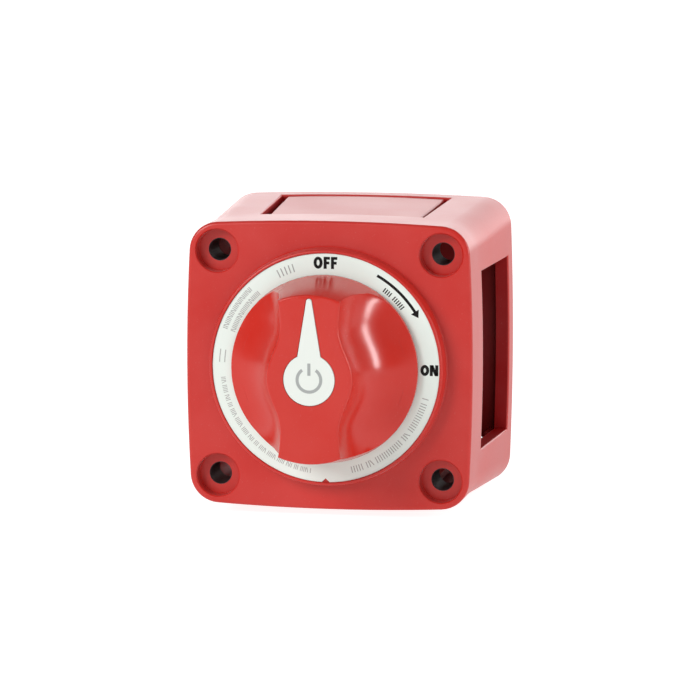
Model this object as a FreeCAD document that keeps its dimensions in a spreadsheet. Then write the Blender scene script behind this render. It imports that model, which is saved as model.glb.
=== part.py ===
"""Panel-mounted battery switch, 2.75 in class, modelled piece by piece.

Every piece is drawn in one working frame: x to the right, y up, z out of the
panel towards the user, with z = 0 on the plane the switch is screwed to. The
placement FRONT turns that frame into the part's own: X right, Z up, and the
knob facing -Y. All sizes are millimetres and live in the sheet.
"""
import FreeCAD, Part
import math
import os
import re

import Sketcher
from FreeCAD import Placement, Rotation, Vector

SIZES = {
    # housing
    "body_depth": 52.0,         # mounting plane to front face
    "band_depth": 15.6,         # straight band behind the front face
    "front_half": 33.3,         # half the width at the middle of a side, band
    "rear_half": 34.8,          # the same at the mounting plane
    "front_bow_radius": 478.0,  # the sides are slightly bowed arcs
    "rear_bow_radius": 690.0,
    "corner_radius": 6.8,
    "wall_thick": 3.2,
    "face_thick": 7.6,          # at the mounting holes
    "front_round": 0.8,
    "join_depth": 0.5,          # how far pads run into what they join
    # mounting holes
    "hole_spacing": 52.0,
    "screw_hole_radius": 2.65,
    "counterbore_radius": 4.93,
    "counterbore_depth": 3.2,
    # cable ports in the four walls
    "port_rear": 5.0,
    "side_port_half": 20.7,
    "end_port_front_half": 19.2,
    "end_port_rear_half": 20.4,
    # dial boss
    "boss_radius": 27.4,
    "boss_draft": 0.35,
    "boss_rise": 3.85,
    "label_radius": 26.3,
    "label_bore": 12.0,
    "label_thick": 0.25,
    "label_gap": 0.05,
    "label_rise": 3.56,
    "collar_radius": 9.0,
    "collar_rise": 2.4,
    # switch chamber
    "chamber_radius": 24.0,
    "roof_thick": 3.7,
    "chamber_wall": 2.0,
    # rotor
    "shaft_radius": 6.0,
    "running_gap": 0.05,
    "key_gap": 0.02,            # square drives in moulded pieces
    "drive_square": 7.0,
    "drive_height": 8.6,
    "lower_square": 8.0,
    "pilot_radius": 2.5,
    "pilot_length": 2.2,
    "seal_wire": 1.5,
    "seal_height": 3.3,
    "seal_room": 0.2,
    "washer_thick": 0.3,
    "washer_gap": 0.02,
    "washer_radius": 9.6,
    "cam_flats": 15.0,
    "cam_corner": 9.7,
    "cam_thick": 2.4,
    "leaf_thick": 0.4,
    "leaf_width": 1.8,
    "leaf_length": 25.0,
    "leaf_gap": 0.05,
    "post_width": 2.4,
    "post_length": 3.6,
    "post_overhang": 0.6,
    "hook_gap": 0.05,
    "hook_length": 2.0,
    "carrier_thick": 3.0,
    "carrier_length": 36.0,
    "carrier_width": 14.0,
    "carrier_gap": 0.2,
    "carrier_drop": 0.1,
    "leg_half": 8.0,
    # contacts
    "stud_offset": 15.5,
    "stud_radius": 4.7625,
    "stud_reach": 23.9,
    "stud_gap": 0.15,
    "stud_lead": 1.0,
    "shank_relief": 0.25,       # the part of a stud inside the base and the nut
    "head_radius": 7.0,
    "head_thick": 1.5,
    "stud_seal_thick": 0.5,
    "tip_radius": 3.6,
    "tip_thick": 0.6,
    "contact_gap": 0.1,
    "bridge_thick": 1.5,
    "bridge_width": 9.0,
    "bridge_length": 39.0,
    "spring_radius": 2.4,
    "spring_wire": 0.6,
    "spring_offset": 11.0,
    "spring_pocket": 3.2,
    "spring_cap": 1.0,
    "coil_gap": 0.1,
    "spring_end_gap": 0.02,
    # contact base
    "base_thick": 4.0,
    "base_gap": 0.7,
    "base_setback": 0.5,        # in front of the ports
    "fence_height": 8.0,
    "fence_half": 1.2,
    "fence_half_length": 14.0,
    "corner_notch": 4.4,
    "base_screw_offset": 20.0,
    "base_screw_radius": 1.45,
    "base_screw_length": 11.0,
    "base_screw_room": 0.6,
    "base_screw_head": 2.7,
    "base_screw_head_thick": 1.8,
    "base_boss_radius": 3.3,
    "gasket_thick": 0.8,
    "gasket_gap": 0.1,
    # terminal hardware
    "flat_washer_radius": 10.3,
    "flat_washer_thick": 1.65,
    "lock_washer_radius": 8.65,
    "lock_washer_thick": 2.4,
    "lock_washer_slit": 1.2,
    "nut_flats": 14.29,
    "nut_thick": 8.3,
    "nut_bevel": 1.2,
    "nut_face": 6.85,
    # knob
    "knob_radius": 21.6,
    "knob_top_radius": 19.1,
    "knob_rise": 22.95,
    "knob_gap": 0.35,
    "knob_edge": 1.2,
    "knob_foot_round": 0.4,
    "grip_middle": 9.8,
    "grip_waist": 6.6,
    "grip_flare": 0.9,
    "grip_bulge_length": 12.0,
    "scoop_lip": 1.6,
    "scoop_reach": 18.4,
    "scoop_least": 0.8,
    "scoop_inset": 0.2,
    "skirt_thick": 2.6,
    "skirt_depth": 2.8,
    "hub_radius": 11.6,
    "collar_gap": 0.4,
    "collar_side_gap": 0.5,
    "socket_gap": 0.2,
    "knob_screw_radius": 2.0,
    "knob_screw_length": 9.5,
    "knob_screw_head": 3.9,
    "knob_screw_head_thick": 2.4,
    "knob_screw_depth": 8.0,
    "knob_web": 2.6,
    # pointer inlay
    "pointer_disc": 5.85,
    "pointer_tip": 18.3,
    "pointer_neck": 2.66,
    "pointer_tip_half": 0.6,
    "pointer_thick": 0.9,
    "inlay_gap": 0.06,
    # rear cover and port blanks
    "cover_gap": 0.35,
    "cover_thick": 2.2,
    "cover_hole_radius": 3.2,
    "tongue_width": 2.2,
    "tongue_depth": 9.0,
    "tongue_thick": 1.0,
    "tongue_relief": 0.4,
    "tongue_port_gap": 0.3,
    "cover_rib_height": 1.2,
    "cover_rib_width": 1.2,
    "cover_rib_half": 17.0,
    "cover_rib_spacing": 8.4,
    "blank_gap": 1.45,
    "blank_end_gap": 0.35,
    "blank_rear_recess": 0.25,
    "blank_front_recess": 0.95,
    "blank_seat_gap": 0.9,
    "blank_overlap": 0.2,
    "flange_thick": 1.8,
    "flange_margin": 2.4,
    "screw_head_room": 1.8,
}

FRONT = Placement(Vector(0, 0, 0), Rotation(Vector(1, 0, 0), 90))

doc = FreeCAD.newDocument("BatterySwitch")
sheet = doc.addObject("Spreadsheet::Sheet", "Sizes")
for row, (alias, number) in enumerate(SIZES.items(), start=1):
    sheet.set("A%d" % row, alias)
    sheet.set("B%d" % row, repr(number))
    sheet.setAlias("B%d" % row, alias)
doc.recompute()
pieces = []


# ---------------------------------------------------------------- helpers
def bound(text):
    """A size expression with every sheet alias written as Sizes.alias."""
    return re.sub(r"\b([a-z]+(?:_[a-z]+)+)\b", r"Sizes.\1", text)


def value(text):
    """The number that a size expression has now."""
    return float(sheet.evalExpression(bound(text)))


def bind(thing, **sizes):
    """Tie properties to size expressions; a double underscore is a dot."""
    for name, text in sizes.items():
        thing.setExpression(name.replace("__", "."), bound(text))
    return thing


def piece(thing, label):
    """Register a finished piece under its own name."""
    thing.Label = label
    thing.Placement = FRONT
    pieces.append(thing)
    return thing


def cylinder(radius, height, foot, x="0", y="0"):
    rod = doc.addObject("Part::Cylinder", "Rod")
    return bind(rod, Radius=radius, Height=height, Placement__Base__x=x,
                Placement__Base__y=y, Placement__Base__z=foot)


def cone(radius_low, radius_high, height, foot, x="0", y="0"):
    taper = doc.addObject("Part::Cone", "Taper")
    return bind(taper, Radius1=radius_low, Radius2=radius_high, Height=height,
                Placement__Base__x=x, Placement__Base__y=y, Placement__Base__z=foot)


def block(left, right, low, high, foot, top):
    """A box between six size expressions."""
    brick = doc.addObject("Part::Box", "Block")
    return bind(brick, Length="(%s) - (%s)" % (right, left), Width="(%s) - (%s)" % (high, low),
                Height="(%s) - (%s)" % (top, foot), Placement__Base__x=left,
                Placement__Base__y=low, Placement__Base__z=foot)


def hexagon(flats, height, foot, x="0", y="0"):
    prism = doc.addObject("Part::Prism", "Hexagon")
    prism.Polygon = 6
    return bind(prism, Circumradius="(%s) / sqrt(3)" % flats, Height=height,
                Placement__Base__x=x, Placement__Base__y=y, Placement__Base__z=foot)


def cut(base, *tools):
    tool = tools[0] if len(tools) == 1 else fuse(*tools)
    result = doc.addObject("Part::Cut", "Cut")
    result.Base, result.Tool = base, tool
    return result


def fuse(*parts):
    result = doc.addObject("Part::MultiFuse", "Fuse")
    result.Shapes = list(parts)
    return result


def common(first, second):
    result = doc.addObject("Part::MultiCommon", "Common")
    result.Shapes = [first, second]
    return result


def group(*parts):
    result = doc.addObject("Part::Compound", "Group")
    result.Links = list(parts)
    return result


def new_body(label):
    body = doc.addObject("PartDesign::Body", label)
    return piece(body, label)


def new_sketch(body, plane, offset="0"):
    """A sketch on one of the body's own origin planes, moved along its normal."""
    sketch = body.newObject("Sketcher::SketchObject", "Sketch")
    origin_plane = [f for f in body.Origin.OriginFeatures if f.Role == plane][0]
    sketch.AttachmentSupport = [(origin_plane, "")]
    sketch.MapMode = "FlatFace"
    sketch.setExpression("AttachmentOffset.Base.z", bound(offset))
    return sketch


def pin_point(sketch, curve, end, x, y):
    """Hold one end of a curve at a place given by two expressions."""
    for axis, kind, text in ((-2, "DistanceX", x), (-1, "DistanceY", y)):
        if text == "0":
            sketch.addConstraint(Sketcher.Constraint("PointOnObject", curve, end, axis))
            continue
        row = sketch.addConstraint(
            Sketcher.Constraint(kind, -1, 1, curve, end, value(text)))
        sketch.setExpression("Constraints[%d]" % row, bound(text))


def circle(sketch, radius, x="0", y="0"):
    centre = Vector(value(x), value(y), 0)
    curve = sketch.addGeometry(Part.Circle(centre, Vector(0, 0, 1), value(radius)), False)
    pin_point(sketch, curve, 3, x, y)
    row = sketch.addConstraint(Sketcher.Constraint("Radius", curve, value(radius)))
    sketch.setExpression("Constraints[%d]" % row, bound(radius))
    return curve


def arc_centre(start, end, radius, large):
    """Centre of the anticlockwise arc from start to end."""
    middle = (start + end) * 0.5
    chord = end - start
    reach = math.sqrt(max(radius ** 2 - chord.Length ** 2 / 4, 0.0))
    side = Vector(-chord.y, chord.x, 0).normalize()
    return middle + side * (-reach if large else reach)


def loop(sketch, corners):
    """A closed outline. A corner is (x, y), or (x, y, radius, turn) where the edge
    that arrives at it is an arc: turn is "left", "right" or "left large"."""
    spots = [Vector(value(c[0]), value(c[1]), 0) for c in corners]
    ends = []
    for index, corner in enumerate(corners):
        start, end = spots[index - 1], spots[index]
        if len(corner) == 2:
            curve = sketch.addGeometry(Part.LineSegment(start, end), False)
            ends.append((curve, 1, 2))
            continue
        radius, turn = value(corner[2]), corner[3]
        if turn == "right":
            start, end = end, start
        centre = arc_centre(start, end, radius, "large" in turn)
        angles = [math.atan2(p.y - centre.y, p.x - centre.x) for p in (start, end)]
        round_edge = Part.Circle(centre, Vector(0, 0, 1), radius)
        curve = sketch.addGeometry(Part.ArcOfCircle(round_edge, *angles), False)
        ends.append((curve, 2, 1) if turn == "right" else (curve, 1, 2))
    for index, corner in enumerate(corners):
        curve, _, finish = ends[index]
        following, begin, _ = ends[(index + 1) % len(ends)]
        sketch.addConstraint(
            Sketcher.Constraint("Coincident", curve, finish, following, begin))
        pin_point(sketch, curve, finish, corner[0], corner[1])
        if len(corner) > 2:
            row = sketch.addConstraint(Sketcher.Constraint("Radius", curve, value(corner[2])))
            sketch.setExpression("Constraints[%d]" % row, bound(corner[2]))


def rectangle(sketch, left, right, low, high):
    loop(sketch, [(left, low), (right, low), (right, high), (left, high)])


def feature(body, kind, sketch, **sizes):
    made = body.newObject("PartDesign::" + kind, kind)
    made.Profile = sketch
    bind(made, **sizes)
    return made


def pad(body, sketch, length):
    return feature(body, "Pad", sketch, Length=length)


def pocket(body, sketch, length, midplane=False):
    """Cut from the sketch towards the mounting plane, or both ways."""
    made = feature(body, "Pocket", sketch, Length=length)
    made.Midplane = midplane
    return made


def revolve(body, corners, kind="Revolution"):
    """A full turn about z of a profile given as (radius, z) corners."""
    sketch = new_sketch(body, "XZ_Plane")
    loop(sketch, corners)
    made = body.newObject("PartDesign::" + kind, kind)
    made.Profile = sketch
    made.ReferenceAxis = (sketch, ["V_Axis"])
    made.Angle = 360
    return made


def loft(body, sketches, kind="AdditiveLoft", ruled=True):
    made = body.newObject("PartDesign::" + kind, kind)
    made.Profile = sketches[0]
    made.Sections = sketches[1:]
    made.Ruled = ruled
    return made


def four_times(body, *features):
    """Repeat features at quarter turns about z."""
    pattern = body.newObject("PartDesign::PolarPattern", "PolarPattern")
    pattern.Originals = list(features)
    pattern.Axis = (features[0].Profile[0], ["N_Axis"])
    pattern.Angle = 360
    pattern.Occurrences = 4
    body.Tip = pattern
    return pattern


def edges_where(shape, test):
    return ["Edge%d" % (n + 1) for n, edge in enumerate(shape.Edges) if test(edge)]


def dress(body, kind, size_name, size, test):
    """Fillet or chamfer the edges of the body's tip that pass the test."""
    doc.recompute()
    tip = body.Tip
    made = body.newObject("PartDesign::" + kind, kind)
    made.Base = (tip, edges_where(tip.Shape, test))
    bind(made, **{size_name: size})
    return made


# ------------------------------------------------------- the bowed outline
def bowed_outline(sketch, half, bow, corner):
    """A square with slightly bowed sides and round corners, tangent all round.

    half is the size at the middle of a side, bow and corner the two radii.
    """
    rise = "((%s) - (%s))" % (bow, half)
    inner = "((%s) - (%s))" % (bow, corner)
    centre = "((sqrt(2 * %s ^ 2 - %s ^ 2) - %s) / 2)" % (inner, rise, rise)
    near = "(%s * (%s) / %s)" % (centre, bow, inner)
    far = "((%s + %s) * (%s) / %s - %s)" % (centre, rise, bow, inner, rise)
    corners = []
    quarter = [(far, near), (near, far)]
    turns = [("", ""), ("-", ""), ("-", "-"), ("", "-")]
    for index, (flip_x, flip_y) in enumerate(turns):
        first, second = quarter if index % 2 == 0 else quarter[::-1]
        corners.append((flip_x + first[0], flip_y + first[1], bow, "left"))
        corners.append((flip_x + second[0], flip_y + second[1], corner, "left"))
    loop(sketch, corners)


BAND_FOOT = "body_depth - band_depth"


def flare(height):
    """Half width of the housing at a height behind the straight band."""
    return "(rear_half + (front_half - rear_half) * (%s) / (%s))" % (height, BAND_FOOT)


FACE_BACK = "body_depth - face_thick"
LABEL_TOP = "body_depth + label_rise"
LABEL_FOOT = "body_depth + label_rise - label_thick"
ROOF = "body_depth + label_rise - label_thick - roof_thick"
COLLAR_TOP = "body_depth + label_rise + collar_rise"
BASE_TOP = "body_depth - band_depth + base_setback + base_thick"
BASE_FOOT = "body_depth - band_depth + base_setback"
CAM_TOP = ROOF + " - washer_thick"
CAM_FOOT = CAM_TOP + " - cam_thick"
CARRIER_TOP = CAM_FOOT + " - carrier_drop"
CARRIER_FOOT = CARRIER_TOP + " - carrier_thick"
HEAD_FOOT = BASE_TOP + " + stud_seal_thick"
HEAD_TOP = HEAD_FOOT + " + head_thick"
TIP_TOP = HEAD_TOP + " + tip_thick"
BRIDGE_TIP_FOOT = TIP_TOP + " + contact_gap"
BRIDGE_FOOT = BRIDGE_TIP_FOOT + " + tip_thick"
BRIDGE_TOP = BRIDGE_FOOT + " + bridge_thick"
KNOB_FOOT = LABEL_TOP + " + knob_gap"
KNOB_TOP = "body_depth + knob_rise"
DRIVE_TOP = COLLAR_TOP + " + drive_height"


# -------------------------------------------------------------- housing
def make_case():
    body = new_body("case")
    levels = [("0", "rear_half", "rear_bow_radius"), (BAND_FOOT, "front_half", "front_bow_radius"),
              ("body_depth", "front_half", "front_bow_radius")]
    outer, inner = [], []
    for height, half, bow in levels:
        sketch = new_sketch(body, "XY_Plane", height)
        bowed_outline(sketch, half, bow, "corner_radius")
        outer.append(sketch)
    loft(body, outer)
    for height, half, bow in levels:
        foot = FACE_BACK if height == "body_depth" else height
        sketch = new_sketch(body, "XY_Plane", foot)
        bowed_outline(sketch, half + " - wall_thick", bow + " - wall_thick",
                      "corner_radius - wall_thick")
        inner.append(sketch)
    loft(body, inner, "SubtractiveLoft")
    revolve(body, [
        ("0", "body_depth - join_depth"), ("boss_radius", "body_depth - join_depth"),
        ("boss_radius", "body_depth"),
        ("boss_radius - boss_draft", "body_depth + boss_rise"),
        ("label_radius + label_gap", "body_depth + boss_rise"), ("label_radius + label_gap", LABEL_FOOT),
        ("collar_radius", LABEL_FOOT), ("collar_radius", COLLAR_TOP), ("0", COLLAR_TOP)])
    # switch chamber behind the dial, with the ring that the base closes
    ring = new_sketch(body, "XY_Plane", BASE_TOP + " + gasket_thick")
    circle(ring, "chamber_radius + chamber_wall")
    pad(body, ring, "%s - (%s) - gasket_thick + join_depth" % (FACE_BACK, BASE_TOP))
    boss = new_sketch(body, "XY_Plane", BASE_TOP)
    circle(boss, "base_boss_radius", "base_screw_offset", "base_screw_offset")
    four_times(body, pad(body, boss, "%s - (%s) + join_depth" % (FACE_BACK, BASE_TOP)))
    chamber = new_sketch(body, "XY_Plane", ROOF)
    circle(chamber, "chamber_radius")
    pocket(body, chamber, "%s - (%s)" % (ROOF, BASE_TOP))
    # posts that hold the ends of the detent springs
    post = new_sketch(body, "XY_Plane", CAM_FOOT)
    inner_face = "cam_flats / 2 + leaf_gap + leaf_thick"
    for sign_x in ("", "-"):
        for sign_y in ("", "-"):
            near, far = sorted(
                [sign_x + "(%s)" % inner_face, sign_x + "(%s + post_width)" % inner_face],
                key=value)
            low, high = sorted(
                [sign_y + "(leaf_length / 2 + post_overhang - post_length)",
                 sign_y + "(leaf_length / 2 + post_overhang)"], key=value)
            rectangle(post, near, far, low, high)
    pad(body, post, "%s - (%s) + join_depth" % (ROOF, CAM_FOOT))
    bore = new_sketch(body, "XY_Plane", COLLAR_TOP)
    circle(bore, "shaft_radius + running_gap")
    pocket(body, bore, "collar_rise + label_thick + roof_thick + join_depth")
    # counterbored mounting holes and the holes for the base screws
    sink = new_sketch(body, "XY_Plane", "body_depth")
    circle(sink, "counterbore_radius", "hole_spacing / 2", "hole_spacing / 2")
    through = new_sketch(body, "XY_Plane", "body_depth")
    circle(through, "screw_hole_radius", "hole_spacing / 2", "hole_spacing / 2")
    pilot = new_sketch(body, "XY_Plane", BASE_TOP + " + base_screw_length - base_thick + base_screw_room")
    circle(pilot, "base_screw_radius", "base_screw_offset", "base_screw_offset")
    four_times(body, pocket(body, sink, "counterbore_depth"),
               pocket(body, through, "face_thick + join_depth"),
               pocket(body, pilot, "base_screw_length - base_thick + base_screw_room"))
    # one cable port through each wall
    side = new_sketch(body, "YZ_Plane")
    rectangle(side, "-side_port_half", "side_port_half", "port_rear", BAND_FOOT)
    pocket(body, side, "2 * rear_half + 2 * wall_thick", midplane=True)
    ends = new_sketch(body, "XZ_Plane")
    loop(ends, [("-end_port_rear_half", "port_rear"), ("end_port_rear_half", "port_rear"),
                ("end_port_front_half", BAND_FOOT), ("-end_port_front_half", BAND_FOOT)])
    pocket(body, ends, "2 * rear_half + 2 * wall_thick", midplane=True)
    face = value("body_depth")
    border = value("boss_radius")
    dress(body, "Fillet", "Radius", "front_round", lambda edge: all(
        abs(v.Z - face) < 1e-4 and math.hypot(v.X, v.Y) > border + 1 for v in edge.Vertexes)
        and not (isinstance(edge.Curve, Part.Circle)
                 and abs(edge.Curve.Radius - value("counterbore_radius")) < 1e-3))
    return body


def make_dial_label():
    ring = cylinder("label_radius", "label_thick", LABEL_FOOT)
    piece(cut(ring, cylinder("label_bore", "2 * label_thick", LABEL_FOOT)), "dial_label")


# ------------------------------------------------------------------ knob
def grip_half(along):
    """Half width of the grip's flat top, which swells round the pointer disc."""
    bulge = "(1 + cos(180 * min(abs(%s) / grip_bulge_length; 1))) / 2" % along
    ends = "(abs(%s) / knob_top_radius) ^ 6" % along
    return "(grip_waist + (grip_middle - grip_waist) * %s + grip_flare * %s)" % (bulge, ends)


# the tip is an arc a little larger than its half width, so its ends are shoulders
TIP_ARC, TIP_SHOULDER = 1.1, 0.64


def pointer_outline(sketch, gap):
    disc = "(pointer_disc + %s)" % gap
    neck = "(pointer_neck + %s)" % gap
    neck_y = "sqrt(%s ^ 2 - %s ^ 2)" % (disc, neck)
    tip_half = "(pointer_tip_half + %s)" % gap
    shoulder = "(pointer_tip - %s * pointer_tip_half)" % TIP_SHOULDER
    loop(sketch, [(neck, neck_y, disc, "left large"), (tip_half, shoulder),
                  ("-" + tip_half, shoulder, "%s * %s" % (TIP_ARC, tip_half), "left"),
                  ("-" + neck, neck_y)])


def scoop_section(body, along):
    """One slice of the finger scoop to the right of the grip."""
    sketch = new_sketch(body, "XZ_Plane", "-(%s)" % along)
    lip = grip_half(along)
    chord = "sqrt(max(knob_radius ^ 2 - (%s) ^ 2; 1))" % along
    rim = "(max(%s; %s + scoop_least) - scoop_inset)" % (chord, lip)
    top = "(%s)" % KNOB_TOP
    low = "(%s + scoop_lip)" % KNOB_FOOT
    across, drop = "(%s - %s)" % (rim, lip), "(%s - %s)" % (top, low)
    radius = "((%s ^ 2 + %s ^ 2) / (2 * %s))" % (across, drop, across)
    outside = "(knob_radius + wall_thick)"
    loop(sketch, [(rim, low, radius, "left"), (outside, low), (outside, top + " + join_depth"),
                  (lip, top + " + join_depth"), (lip, top)])
    return sketch


def make_knob():
    body = new_body("knob")
    revolve(body, [("0", KNOB_FOOT), ("knob_radius - knob_foot_round", KNOB_FOOT),
                   ("knob_radius", KNOB_FOOT + " + knob_foot_round"),
                   ("knob_radius", KNOB_FOOT + " + knob_edge"), ("knob_top_radius", KNOB_TOP),
                   ("0", KNOB_TOP)])
    steps = 6
    stations = [math.sin(math.pi / 2 * k / steps) for k in range(-steps, steps + 1)]
    cuts = [scoop_section(body, "(%.4f * scoop_reach)" % station) for station in stations]
    scoop = loft(body, cuts, "SubtractiveLoft", ruled=False)
    pattern = body.newObject("PartDesign::PolarPattern", "PolarPattern")
    pattern.Originals = [scoop]
    pattern.Axis = ([f for f in body.Origin.OriginFeatures if f.Role == "Z_Axis"][0], [""])
    pattern.Angle = 360
    pattern.Occurrences = 2
    body.Tip = pattern
    # hollow underside round the hub, the drive socket and the screw seat
    hollow = new_sketch(body, "XY_Plane", KNOB_FOOT + " + skirt_depth")
    circle(hollow, "knob_radius - skirt_thick")
    circle(hollow, "hub_radius")
    pocket(body, hollow, "skirt_depth")
    recess = new_sketch(body, "XY_Plane", COLLAR_TOP + " + collar_gap")
    circle(recess, "collar_radius + collar_side_gap")
    pocket(body, recess, "%s + collar_gap - (%s)" % (COLLAR_TOP, KNOB_FOOT))
    socket = new_sketch(body, "XY_Plane", DRIVE_TOP + " + socket_gap")
    half = "(drive_square / 2 + running_gap)"
    rectangle(socket, "-" + half, half, "-" + half, half)
    pocket(body, socket, "drive_height + socket_gap")
    seat = new_sketch(body, "XY_Plane", KNOB_TOP)
    circle(seat, "knob_screw_head + socket_gap")
    pocket(body, seat, "%s - (%s) - socket_gap - knob_web" % (KNOB_TOP, DRIVE_TOP))
    passage = new_sketch(body, "XY_Plane", KNOB_TOP)
    circle(passage, "knob_screw_radius + socket_gap")
    pocket(body, passage, "%s - (%s)" % (KNOB_TOP, DRIVE_TOP))
    inlay = new_sketch(body, "XY_Plane", KNOB_TOP)
    pointer_outline(inlay, "inlay_gap")
    pocket(body, inlay, "pointer_thick + inlay_gap")
    return body


def make_pointer():
    body = new_body("knob_pointer")
    sketch = new_sketch(body, "XY_Plane", KNOB_TOP + " - pointer_thick")
    pointer_outline(sketch, "0 * inlay_gap")
    pad(body, sketch, "pointer_thick")


def make_knob_screw():
    under_head = DRIVE_TOP + " + socket_gap + knob_web"
    shank = cylinder("knob_screw_radius", "knob_screw_length",
                     under_head + " - knob_screw_length")
    head = cylinder("knob_screw_head", "knob_screw_head_thick", under_head)
    deep = "0.6 * knob_screw_head_thick"
    foot = "%s + knob_screw_head_thick - %s" % (under_head, deep)
    slot_half, slot_reach = "0.2 * knob_screw_head", "0.65 * knob_screw_head"
    roof = foot + " + 2 * " + deep
    cross = fuse(block("-" + slot_reach, slot_reach, "-" + slot_half, slot_half, foot, roof),
                 block("-" + slot_half, slot_half, "-" + slot_reach, slot_reach, foot, roof))
    piece(cut(fuse(shank, head), cross), "knob_screw")


# ----------------------------------------------------------------- rotor
def make_rotor_shaft():
    seal_foot = "%s - seal_height - seal_wire - seal_room" % COLLAR_TOP
    square = "lower_square / 2"
    lower = block("-" + square, square, "-" + square, square, CARRIER_FOOT, CAM_TOP)
    bearing = cylinder("shaft_radius", "%s - (%s)" % (COLLAR_TOP, CAM_TOP), CAM_TOP)
    flat = "drive_square / 2"
    drive = block("-" + flat, flat, "-" + flat, flat, COLLAR_TOP, DRIVE_TOP)
    pilot_foot = BASE_TOP + " - pilot_length"
    pilot = cylinder("pilot_radius", "%s - (%s)" % (CARRIER_FOOT, pilot_foot), pilot_foot)
    groove = cut(cylinder("shaft_radius + seal_wire", "seal_wire + seal_room", seal_foot),
                 cylinder("shaft_radius - seal_wire", "seal_wire + seal_room", seal_foot))
    tapped = cylinder("knob_screw_radius + running_gap", "knob_screw_depth + knob_web",
                      DRIVE_TOP + " - knob_screw_depth")
    piece(cut(fuse(lower, bearing, drive, pilot), groove, tapped), "rotor_shaft")


def make_shaft_seal():
    ring = doc.addObject("Part::Torus", "Ring")
    bind(ring, Radius1="shaft_radius - seal_wire / 2 - 0.8 * running_gap",
         Radius2="seal_wire / 2 - running_gap",
         Placement__Base__z="%s - seal_height - (seal_wire + seal_room) / 2" % COLLAR_TOP)
    piece(group(ring), "shaft_seal")


def make_thrust_washer():
    disc = cylinder("washer_radius", "washer_thick - 2 * washer_gap", CAM_TOP + " + washer_gap")
    hole = cylinder("shaft_radius + running_gap", "washer_thick", CAM_TOP)
    piece(cut(disc, hole), "thrust_washer")


def make_detent_cam():
    half = "cam_flats / 2"
    square = block("-" + half, half, "-" + half, half, CAM_FOOT, CAM_TOP)
    rounded = common(square, cylinder("cam_corner", "cam_thick", CAM_FOOT))
    key = "lower_square / 2 + key_gap"
    socket = block("-(%s)" % key, key, "-(%s)" % key, key, CAM_FOOT, CAM_TOP)
    piece(cut(rounded, socket), "detent_cam")


def make_detent_springs():
    """Flat springs that press on the cam; each ends in a small hook."""
    near = "cam_flats / 2 + leaf_gap"
    foot = "%s - (cam_thick + leaf_width) / 2" % CAM_TOP
    top = foot + " + leaf_width"
    hook_inside = "leaf_length / 2 + post_overhang + hook_gap"
    hook_outside = hook_inside + " + leaf_thick"
    for side, label in (("", "detent_spring_right"), ("-", "detent_spring_left")):
        inside, outside = side + "(%s)" % near, side + "(%s + leaf_thick)" % near
        bend_out = side + "(%s + hook_length)" % near
        left, right = sorted([inside, outside], key=value)
        hook_left, hook_right = sorted([inside, bend_out], key=value)
        strip = block(left, right, "-(%s)" % hook_outside, hook_outside, foot, top)
        hooks = [block(hook_left, hook_right, low, high, foot, top) for low, high in (
            (hook_inside, hook_outside), ("-(%s)" % hook_outside, "-(%s)" % hook_inside))]
        piece(fuse(strip, *hooks), label)


def make_contact_carrier():
    """Moulded bar across the chamber: holds the springs and drives the bridge."""
    long_half, wide_half = "carrier_length / 2", "carrier_width / 2"
    bar = block("-" + wide_half, wide_half, "-" + long_half, long_half, CARRIER_FOOT, CARRIER_TOP)
    inner_wall = "bridge_width / 2 + carrier_gap"
    legs = [block(low, high, "-leg_half", "leg_half", BRIDGE_FOOT, CARRIER_FOOT) for low, high in (
        (inner_wall, wide_half), ("-" + wide_half, "-(%s)" % inner_wall))]
    envelope = cylinder("carrier_length / 2", "%s - (%s)" % (CARRIER_TOP, BRIDGE_FOOT), BRIDGE_FOOT)
    trimmed = common(fuse(bar, *legs), envelope)
    key = "lower_square / 2 + key_gap"
    tools = [block("-(%s)" % key, key, "-(%s)" % key, key, CARRIER_FOOT, CARRIER_TOP)]
    for y in ("spring_offset", "-spring_offset"):
        tools.append(cylinder("spring_pocket", "%s - spring_cap - (%s)" % (CARRIER_TOP, CARRIER_FOOT),
                              CARRIER_FOOT, "0", y))
    piece(cut(trimmed, *tools), "contact_carrier")


def make_contact_bridge():
    wide_half, long_half = "bridge_width / 2", "bridge_length / 2"
    bar = block("-" + wide_half, wide_half, "-" + long_half, long_half, BRIDGE_FOOT, BRIDGE_TOP)
    ends = common(bar, cylinder(long_half, "bridge_thick", BRIDGE_FOOT))
    pivot = cylinder("pilot_radius + carrier_gap", "bridge_thick", BRIDGE_FOOT)
    piece(cut(ends, pivot), "contact_bridge")
    tips = [cylinder("tip_radius", "tip_thick", BRIDGE_TIP_FOOT, "0", y)
            for y in ("stud_offset", "-stud_offset")]
    piece(group(*tips), "bridge_contacts")


def make_contact_springs():
    """Two coil springs between the carrier and the bridge."""
    foot = BRIDGE_TOP + " + spring_wire / 2 + spring_end_gap"
    rise = "%s - spring_cap - (%s) - spring_wire - 2 * spring_end_gap" % (CARRIER_TOP, BRIDGE_TOP)
    coils = []
    for y in ("spring_offset", "-spring_offset"):
        path = doc.addObject("Part::Helix", "CoilPath")
        path.SegmentLength = 1      # one edge, and so one face, to a turn
        bind(path, Radius="spring_radius", Height=rise, Pitch="spring_wire + coil_gap")
        wire = doc.addObject("Part::Circle", "CoilWire")
        wire.Placement.Rotation = Rotation(Vector(1, 0, 0), 90)
        bind(wire, Radius="spring_wire / 2", Placement__Base__x="spring_radius")
        coil = doc.addObject("Part::Sweep", "Coil")
        coil.Sections = [wire]
        coil.Spine = (path, [])
        coil.Solid = True
        coil.Frenet = True
        bind(coil, Placement__Base__y=y, Placement__Base__z=foot)
        coils.append(coil)
    piece(group(*coils), "contact_springs")


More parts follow.
